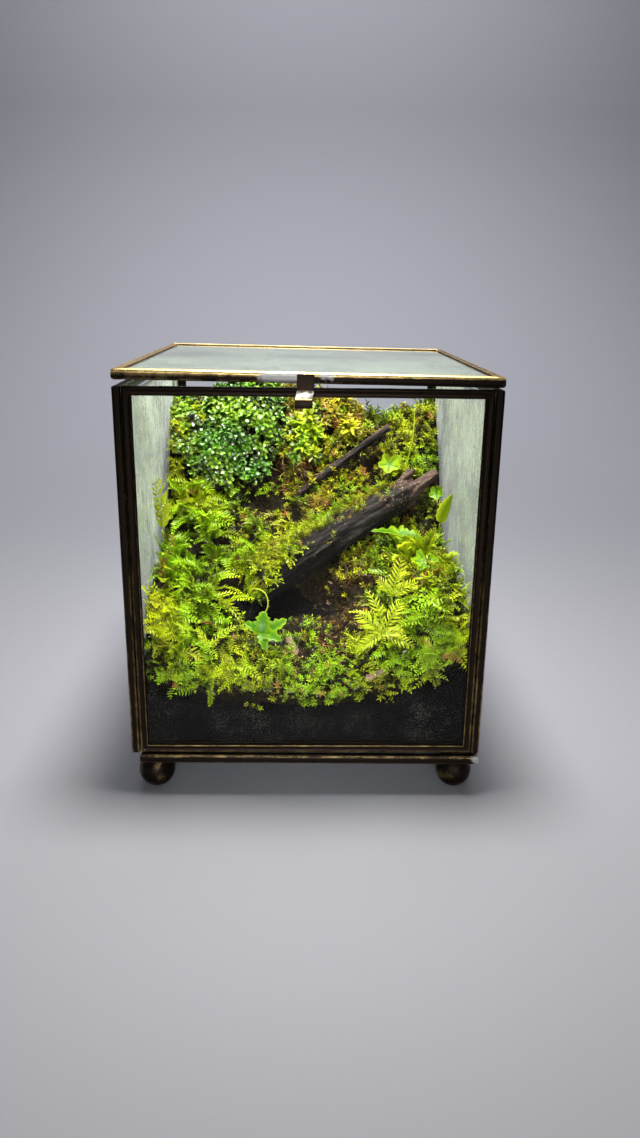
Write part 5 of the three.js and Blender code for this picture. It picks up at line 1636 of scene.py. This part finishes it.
class PLANTEDBOX_OT_glass(bpy.types.Operator):
    """Gives the panes their glass"""
    bl_idname = "plantedbox.glass"
    bl_label = "Glass"

    def execute(self, context):
        sides = glass_material("Damp side glass", 1.5, 0.25)
        clear = glass_material("Clear glass", 1.12)
        sheet = glass_material("Sheet glass", 1.5)
        kinds = {"pane_left": sides, "pane_right": sides, "pane_front": clear, "pane_back": clear}
        for name in [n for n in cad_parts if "pane" in n]:
            coat(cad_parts[name].data, kinds.get(name, sheet))
        clouds = damp_material("Lid damp", 1.0, 0.10, 0.50, (0.0, 0.01))
        streaks = damp_material("Side damp", 0.3, 0.10, 0.54, (0.03, 0.10))
        count = settings().glass.droplets
        # Each damp pane's body, the way its inner face looks, its film, its droplets and their gaps
        for side, pane, body, inward, film, drops, gaps in (
                ("lid", "lid_pane", LID_BODY, (0, 0, -1), clouds, count, 0.75),
                ("left", "pane_left", CASE_BODY, (1, 0, 0), streaks, count // 3, 0.6),
                ("right", "pane_right", CASE_BODY, (-1, 0, 0), streaks, count // 3, 0.6),
                ("front", "pane_front", CASE_BODY, (0, 1, 0), None, count // 12, 0.5)):
            if film:
                self.film(f"{side}_damp", pane, body, inward, film)
            self.droplets(f"{side}_drops", pane, body, inward, drops, gaps)
        return {"FINISHED"}

    def film(self, name, node, body, inward, material):
        """A thin closed film of damp on a pane's inner face."""
        corners = self.inner_face(node, inward, 2.4 * MM)
        way = Vector(inward)
        points = [c + way * 0.004 * MM for c in corners] + [c + way * 0.02 * MM for c in corners]
        faces = [(3, 2, 1, 0), (4, 5, 6, 7)] + [(k, (k + 1) % 4, 4 + (k + 1) % 4, 4 + k) for k in range(4)]
        finish_piece(link_piece(name, mesh_of(name, points, faces), material), body, "glass")

    def droplets(self, name, node, body, inward, count, gaps):
        """Droplets on a pane's inner face, thicker in some places than others."""
        corners = self.inner_face(node, inward, 2.6 * MM)
        area = (corners[1] - corners[0]).length * (corners[2] - corners[1]).length
        host = link_piece(name, mesh_of(name, corners, [(0, 1, 2, 3)]))
        with_nodes(host, droplet_tree(), {
            "Density": count / area, "Radius": settings().glass.droplet, "Gaps": gaps, "Seed": len(name),
            "Material": droplet_material()})
        finish_piece(host, body, "glass")

    def inner_face(self, node, inward, inset):
        """The corners of a pane's inner face, clear of its channel, in order round the way it faces."""
        low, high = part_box(node)
        way = Vector(inward)
        thin = [abs(v) for v in inward].index(1)
        across, up = [(1, 2), (0, 2), (0, 1)][thin]
        corners = []
        for a, b in ((low, low), (high, low), (high, high), (low, high)):
            spot = [0.0, 0.0, 0.0]
            spot[across] = min(max(a[across], low[across] + inset), high[across] - inset)
            spot[up] = min(max(b[up], low[up] + inset), high[up] - inset)
            spot[thin] = high[thin] if inward[thin] > 0 else low[thin]
            corners.append(Vector(spot))
        if thin == 2:
            # The lid's glass is tilted, so its lower face is followed at each corner
            slope = tilt_of(node)
            middle = (low.x + high.x) / 2
            for spot in corners:
                reach = abs(slope) * (high.x - low.x) / 2
                spot.z = low.z + reach + slope * (spot.x - middle)
        if (corners[1] - corners[0]).cross(corners[2] - corners[1]).dot(way) < 0:
            corners.reverse()
        return corners


def damp_material(name, stretch, least, most, rise):
    """Fine condensation, in streaks or clouds, from thin to full over a rise in height; its green tint is a
    painted reflection of the moss.
    """
    material, tree, shader = new_material(
        name, 0.55, Sheen_Weight=0.5, Sheen_Roughness=0.6, Specular_IOR_Level=0.0)
    # The film's green colour is a painted reflection of the moss.
    shader.inputs["Base Color"].default_value = rgba(settings().glass.damp)
    where = on_piece(tree)
    stretched = made(tree, "ShaderNodeMapping", {"Vector": where, "Scale": (1.0, 1.0, stretch)})
    drops = object_noise(tree, 2400.0, 2.0, where, 0.7)
    streak = object_noise(tree, 500.0, 3.0, stretched, 0.65)
    cloud = object_noise(tree, 45.0, 2.0, where)
    thick = plus(tree, times(tree, streak, 0.5), times(tree, cloud, 0.5))
    thick = plus(tree, thick, between(tree, drops, 0.3, 0.7, -0.09, 0.09))
    height = made(tree, "ShaderNodeSeparateXYZ", {"Vector": where}, out="Z")
    share = times(tree, between(tree, thick, 0.36, 0.66, least, most), between(tree, height, *rise, 0.3, 1.0))
    # A thin film hides more of what is behind it the more slantwise it is seen
    slant = made(tree, "ShaderNodeLayerWeight", {"Blend": 0.5}, out="Facing")
    share = times(tree, share, between(tree, slant, 0.2, 0.8, 0.2, 1.0))
    tree.links.new(share, shader.inputs["Alpha"])
    let_light_through(tree, shader)
    return material


@made_once("materials", "Water")
def droplet_material(name):
    """Water on the glass."""
    material, tree, shader = new_material(name, 0.02, IOR=1.33, Transmission_Weight=1.0)
    let_light_through(tree, shader, diffuse=False)
    return material


@made_once("node_groups", "Droplets on the glass")
def droplet_tree(name):
    """Geometry nodes that scatter low domes over a pane's face."""
    tree, given, result = new_group(name, "GeometryNodeTree", [
        ("Geometry", "Geometry", None), ("Density", "Float", 1e5), ("Radius", "Float", 0.0003),
        ("Gaps", "Float", 0.5), ("Seed", "Int", 1), ("Material", "Material", None)],
        [("Geometry", "Geometry")])
    take = given.outputs
    fine = made(tree, "GeometryNodeSubdivideMesh", {"Mesh": take["Geometry"], "Level": 5})
    position = made(tree, "GeometryNodeInputPosition")
    cloud = made(tree, "ShaderNodeTexNoise", {"Vector": position, "Scale": 55.0, "Detail": 2.0}, out="Fac")
    thick = between(tree, cloud, 0.4, 0.62, maths(tree, "SUBTRACT", 1.0, take["Gaps"]), 1.9)
    scatter = add_node(tree, "GeometryNodeDistributePointsOnFaces", {
        "Mesh": fine, "Density": times(tree, take["Density"], thick), "Seed": take["Seed"]},
        distribute_method="RANDOM")
    ball = made(tree, "GeometryNodeMeshIcoSphere", {"Radius": 1.0, "Subdivisions": 2})
    ball = made(tree, "GeometryNodeSetShadeSmooth", {"Geometry": ball})
    size = drawn(tree, 0.25, 1.0, take["Seed"], 5.0)
    size = times(tree, maths(tree, "POWER", size, 2.2), take["Radius"])
    flat = made(tree, "ShaderNodeCombineXYZ", {"X": size, "Y": size, "Z": times(tree, size, 0.45)})
    drops = made(tree, "GeometryNodeInstanceOnPoints", {
        "Points": scatter.outputs["Points"], "Instance": ball, "Rotation": scatter.outputs["Rotation"],
        "Scale": flat})
    lifted = made(tree, "GeometryNodeTranslateInstances", {
        "Instances": drops, "Translation": (0.0, 0.0, 0.5), "Local Space": True})
    end_tree(tree, result, lifted, take["Material"])
    return tree


class PLANTEDBOX_OT_soil(bpy.types.Operator):
    """Builds the crumbly black soil"""
    bl_idname = "plantedbox.soil"
    bl_label = "Soil"

    def execute(self, context):
        look = settings().soil
        piece = remeshed("soil", "soil_block", 1.3 * MM, 2)
        mesh = piece.data
        places = corners_of(mesh)
        for i, (spot, normal) in enumerate(zip(places, corner_normals(mesh))):
            dent = 0.5 + 0.5 * noise.fractal(Vector(spot) * 420, 0.8, 2.1, 3)
            places[i] = spot - normal * look.crumb * max(0.0, dent)
        places[:, :2] = places[:, :2].clip(SOIL_LOW[:2], SOIL_HIGH[:2])
        move_corners(mesh, places)
        mesh.shade_smooth()
        material, tree, shader = new_material("Black soil", 0.9, Specular_IOR_Level=0.05)
        grit = object_noise(tree, 2600.0, 4.0, roughness=0.75)
        drift = object_noise(tree, 90.0, 3.0)
        dusty = between(tree, plus(tree, grit, times(tree, drift, 0.4)), 0.76, 0.96)
        tree.links.new(mixed(tree, dusty, rgba(look.colour), rgba(look.dust)), shader.inputs["Base Color"])
        bump(tree, shader, grit, 0.0003, 0.9)
        coat(mesh, material)
        finish_piece(piece, CASE_BODY, "soil", "soil")
        return {"FINISHED"}


@made_once("materials", "Wet bark")
def wood_material(name):
    """Wet dark bark, ridged along the wood and paler on its upward ridges as a painted highlight, pinkish
    where it has broken.
    """
    look = settings().wood
    material, tree, shader = new_material(name, 0.6, Specular_IOR_Level=0.2)
    ridge = stored(tree, "ridge")
    broken = stored(tree, "broken")
    fine = object_noise(tree, 2200.0, 4.0, roughness=0.7)
    blotch = object_noise(tree, 320.0, 3.0)
    # The ridge mask includes a painted highlight on the upward faces.
    worn_and_lit = between(tree, plus(tree, ridge, between(tree, fine, 0.2, 0.8, -0.2, 0.2)), 0.3, 1.0)
    bark = mixed(tree, worn_and_lit, rgba(look.bark), rgba(look.ridge))
    flecks = plus(tree, between(tree, blotch, 0.3, 0.7, -0.3, 0.3),
                  between(tree, fine, 0.35, 0.65, -0.4, 0.3))
    raw = between(tree, plus(tree, broken, flecks), 0.3, 0.7)
    tree.links.new(mixed(tree, raw, bark, mixed(tree, fine, rgba(look.ridge), rgba(look.broken))),
                   shader.inputs["Base Color"])
    tree.links.new(between(tree, fine, 0.2, 0.8, 0.6, 0.95), shader.inputs["Roughness"])
    bump(tree, shader, fine, 0.0002, 0.8)
    return material


def bark_piece(node, name, start, end, voxel, relief, break_from, bare=0.0):
    """A length of driftwood: the CAD's form with ridges, cracks and splintered ends, its upward faces painted
    paler as a highlight.
    """
    piece = remeshed(node, name, voxel, 2)
    mesh = piece.data
    a, b = place(*start), place(*end)
    length = (b - a).length
    axis = (b - a).normalized()
    side = axis.cross(UP).normalized()
    top = side.cross(axis)
    places = corners_of(mesh)
    ridges, broken = [], []
    for i, (spot, normal) in enumerate(zip(places, corner_normals(mesh))):
        from_start = Vector(spot) - a
        along = from_start.dot(axis)
        ring = Vector((from_start.dot(side), from_start.dot(top), 0)) * 900
        height = noise.fractal(Vector((ring.x, ring.y, along * 110)), 0.7, 2.0, 4)
        crack = -abs(noise.noise(Vector((ring.x * 0.6, ring.y * 0.6, along * 60 + 7))))
        places[i] = spot + normal * relief * (0.7 * height + 0.9 * max(-0.25, crack + 0.12))
        # Ridges are paler on upward faces: real ridges with a painted highlight of the light from above.
        ridges.append(min(1.0, max(0.0, 0.5 + 0.9 * height)) * (0.35 + 0.65 * max(0.0, normal[2])))
        end_face = abs(Vector(normal).dot(axis))
        past = max(0.0, (along / length - break_from) / (1.02 - break_from))
        # bare spreads the pinkish wood over the upward faces as well, making the twig's top paler.
        broken.append(min(1.0, past + 0.6 * max(0.0, end_face - 0.6) + bare * max(0.0, normal[2])))
    move_corners(mesh, places)
    store(mesh, {"ridge": ridges, "broken": broken})
    mesh.shade_smooth()
    coat(mesh, wood_material())
    return finish_piece(piece, CASE_BODY, "bark", node)


class PLANTEDBOX_OT_wood(bpy.types.Operator):
    """Carves the log and the twig"""
    bl_idname = "plantedbox.wood"
    bl_label = "Driftwood"

    def execute(self, context):
        relief = settings().wood.relief
        bark_piece("driftwood_log", "bark_log", LOG_START, LOG_END, 0.4 * MM, relief, 0.9)
        bark_piece("driftwood_twig", "bark_twig", TWIG_START, TWIG_END, 0.22 * MM, 0.35 * relief, 0.95, 0.6)
        return {"FINISHED"}


# The camera stands where the photograph was taken from
CAMERA_PLACE = Vector((-1.618, -278.08, 140.44)) * MM
CAMERA_YAW = math.radians(1.261)
CAMERA_PITCH = math.radians(-17.621)
CAMERA_ROLL = math.radians(0.760)
FRAME_HEIGHT = 1138
FOCAL_PIXELS = 877
SENSOR = 36.0


class PLANTEDBOX_OT_stage(bpy.types.Operator):
    """Sets the camera, the pale floor and the soft lights"""
    bl_idname = "plantedbox.stage"
    bl_label = "Stage"

    def execute(self, context):
        look = settings().stage
        scene = context.scene
        forward = Vector((math.sin(CAMERA_YAW) * math.cos(CAMERA_PITCH),
                          math.cos(CAMERA_YAW) * math.cos(CAMERA_PITCH), math.sin(CAMERA_PITCH)))
        right = Vector((math.cos(CAMERA_YAW), -math.sin(CAMERA_YAW), 0.0))
        up = right.cross(forward)
        rolled_right = right * math.cos(CAMERA_ROLL) + up * math.sin(CAMERA_ROLL)
        rolled_up = up * math.cos(CAMERA_ROLL) - right * math.sin(CAMERA_ROLL)
        lens = bpy.data.cameras.new("camera")
        lens.sensor_width = SENSOR
        lens.lens = SENSOR * FOCAL_PIXELS / FRAME_HEIGHT
        lens.clip_start, lens.clip_end = 0.01, 10.0
        camera = bpy.data.objects.new("camera", lens)
        axes = Matrix((rolled_right, rolled_up, -forward)).transposed()
        camera.matrix_world = Matrix.Translation(CAMERA_PLACE) @ axes.to_4x4()
        scene.collection.objects.link(camera)
        scene.camera = camera

        floor_mesh = mesh_of("floor", *sweep_floor())
        floor_mesh.shade_smooth()
        material, _, shader = new_material("Pale paper", 0.85)
        shader.inputs["Base Color"].default_value = rgba(look.floor)
        floor = link_piece("floor", floor_mesh, material)

        self.add_light("overhead", (0.005, -0.03, 0.40), (0, -0.02, 0.06), 0.09, look.overhead, 120,
                       (1.0, 0.985, 0.95))
        self.add_light("backdrop", (0.0, 0.45, 1.0), (0, 0.75, 0.1), 0.7, look.backdrop, 110,
                       (0.96, 0.97, 1.0))
        self.add_light("fill", (0.0, -0.55, 0.20), (0, 0, 0.03), 0.08, look.fill, 20, (0.95, 0.97, 1.0))
        world = bpy.data.worlds.new("studio")
        world.use_nodes = True
        background = world.node_tree.nodes["Background"]
        background.inputs["Color"].default_value = (0.80, 0.84, 0.92, 1.0)
        background.inputs["Strength"].default_value = 0.1
        scene.world = world
        scene.view_settings.view_transform = "Standard"
        scene.cycles.transparent_max_bounces = 24
        scene.cycles.max_bounces = 10
        return {"FINISHED"}

    def add_light(self, name, spot, aim, size, power, cone, colour):
        """A round soft light; cone is how wide it spreads, in degrees."""
        light = bpy.data.lights.new(name, "AREA")
        light.shape = "DISK"
        light.spread = math.radians(cone)
        light.size = size
        light.energy = power
        light.color = colour
        lamp = bpy.data.objects.new(name, light)
        lamp.location = spot
        lamp.rotation_euler = (Vector(aim) - Vector(spot)).to_track_quat("-Z", "Y").to_euler()
        bpy.context.scene.collection.objects.link(lamp)


def sweep_floor():
    """A wide floor that curves up far behind the object: its corners and faces."""
    back, radius, reach, height = 0.55, 0.35, 2.5, 2.2
    profile = [(-reach, 0.0), (back, 0.0)]
    profile += [(back + radius * math.sin(a), radius * (1 - math.cos(a)))
                for a in (math.pi / 2 * k / 12 for k in range(1, 13))]
    profile.append((back + radius, height))
    points = [(x, y, z) for y, z in profile for x in (-reach, reach)]
    faces = [(2 * i, 2 * i + 1, 2 * i + 3, 2 * i + 2) for i in range(len(profile) - 1)]
    return points, faces


PIECES = ("brass", "glass", "soil", "wood", "ground", "moss", "fronds", "leaves", "litter")


class PLANTEDBOX_PT_panel(bpy.types.Panel):
    """Lists the pieces of the planted box"""
    bl_label = "Planted box"
    bl_idname = "PLANTEDBOX_PT_panel"
    bl_space_type = "VIEW_3D"
    bl_region_type = "UI"
    bl_category = "Planted box"

    def draw(self, context):
        for name in ("stage", *PIECES):
            self.layout.operator(f"plantedbox.{name}")
        for group in context.scene.planted_box.bl_rna.properties:
            if group.type == "POINTER" and group.identifier != "rna_type":
                part = getattr(context.scene.planted_box, group.identifier)
                column = self.layout.box().column()
                for item in part.bl_rna.properties:
                    if item.identifier not in ("rna_type", "name"):
                        column.prop(part, item.identifier)


CLASSES = (BrassSettings, GlassSettings, SoilSettings, MossSettings, PlantSettings, WoodSettings,
           StageSettings, BoxSettings, PLANTEDBOX_OT_ground, PLANTEDBOX_OT_moss, PLANTEDBOX_OT_brass,
           PLANTEDBOX_OT_glass, PLANTEDBOX_OT_soil, PLANTEDBOX_OT_wood, PLANTEDBOX_OT_fronds,
           PLANTEDBOX_OT_leaves, PLANTEDBOX_OT_litter, PLANTEDBOX_OT_stage, PLANTEDBOX_PT_panel)


def register():
    # Vector noise takes its start from the clock unless a seed is set
    noise.seed_set(1)
    for item in CLASSES:
        bpy.utils.register_class(item)
    bpy.types.Scene.planted_box = bpy.props.PointerProperty(type=BoxSettings)


def unregister():
    del bpy.types.Scene.planted_box
    for item in reversed(CLASSES):
        bpy.utils.unregister_class(item)


def main():
    register()
    bpy.ops.plantedbox.stage()
    for name in PIECES:
        getattr(bpy.ops.plantedbox, name)()


if __name__ == "__main__":
    main()
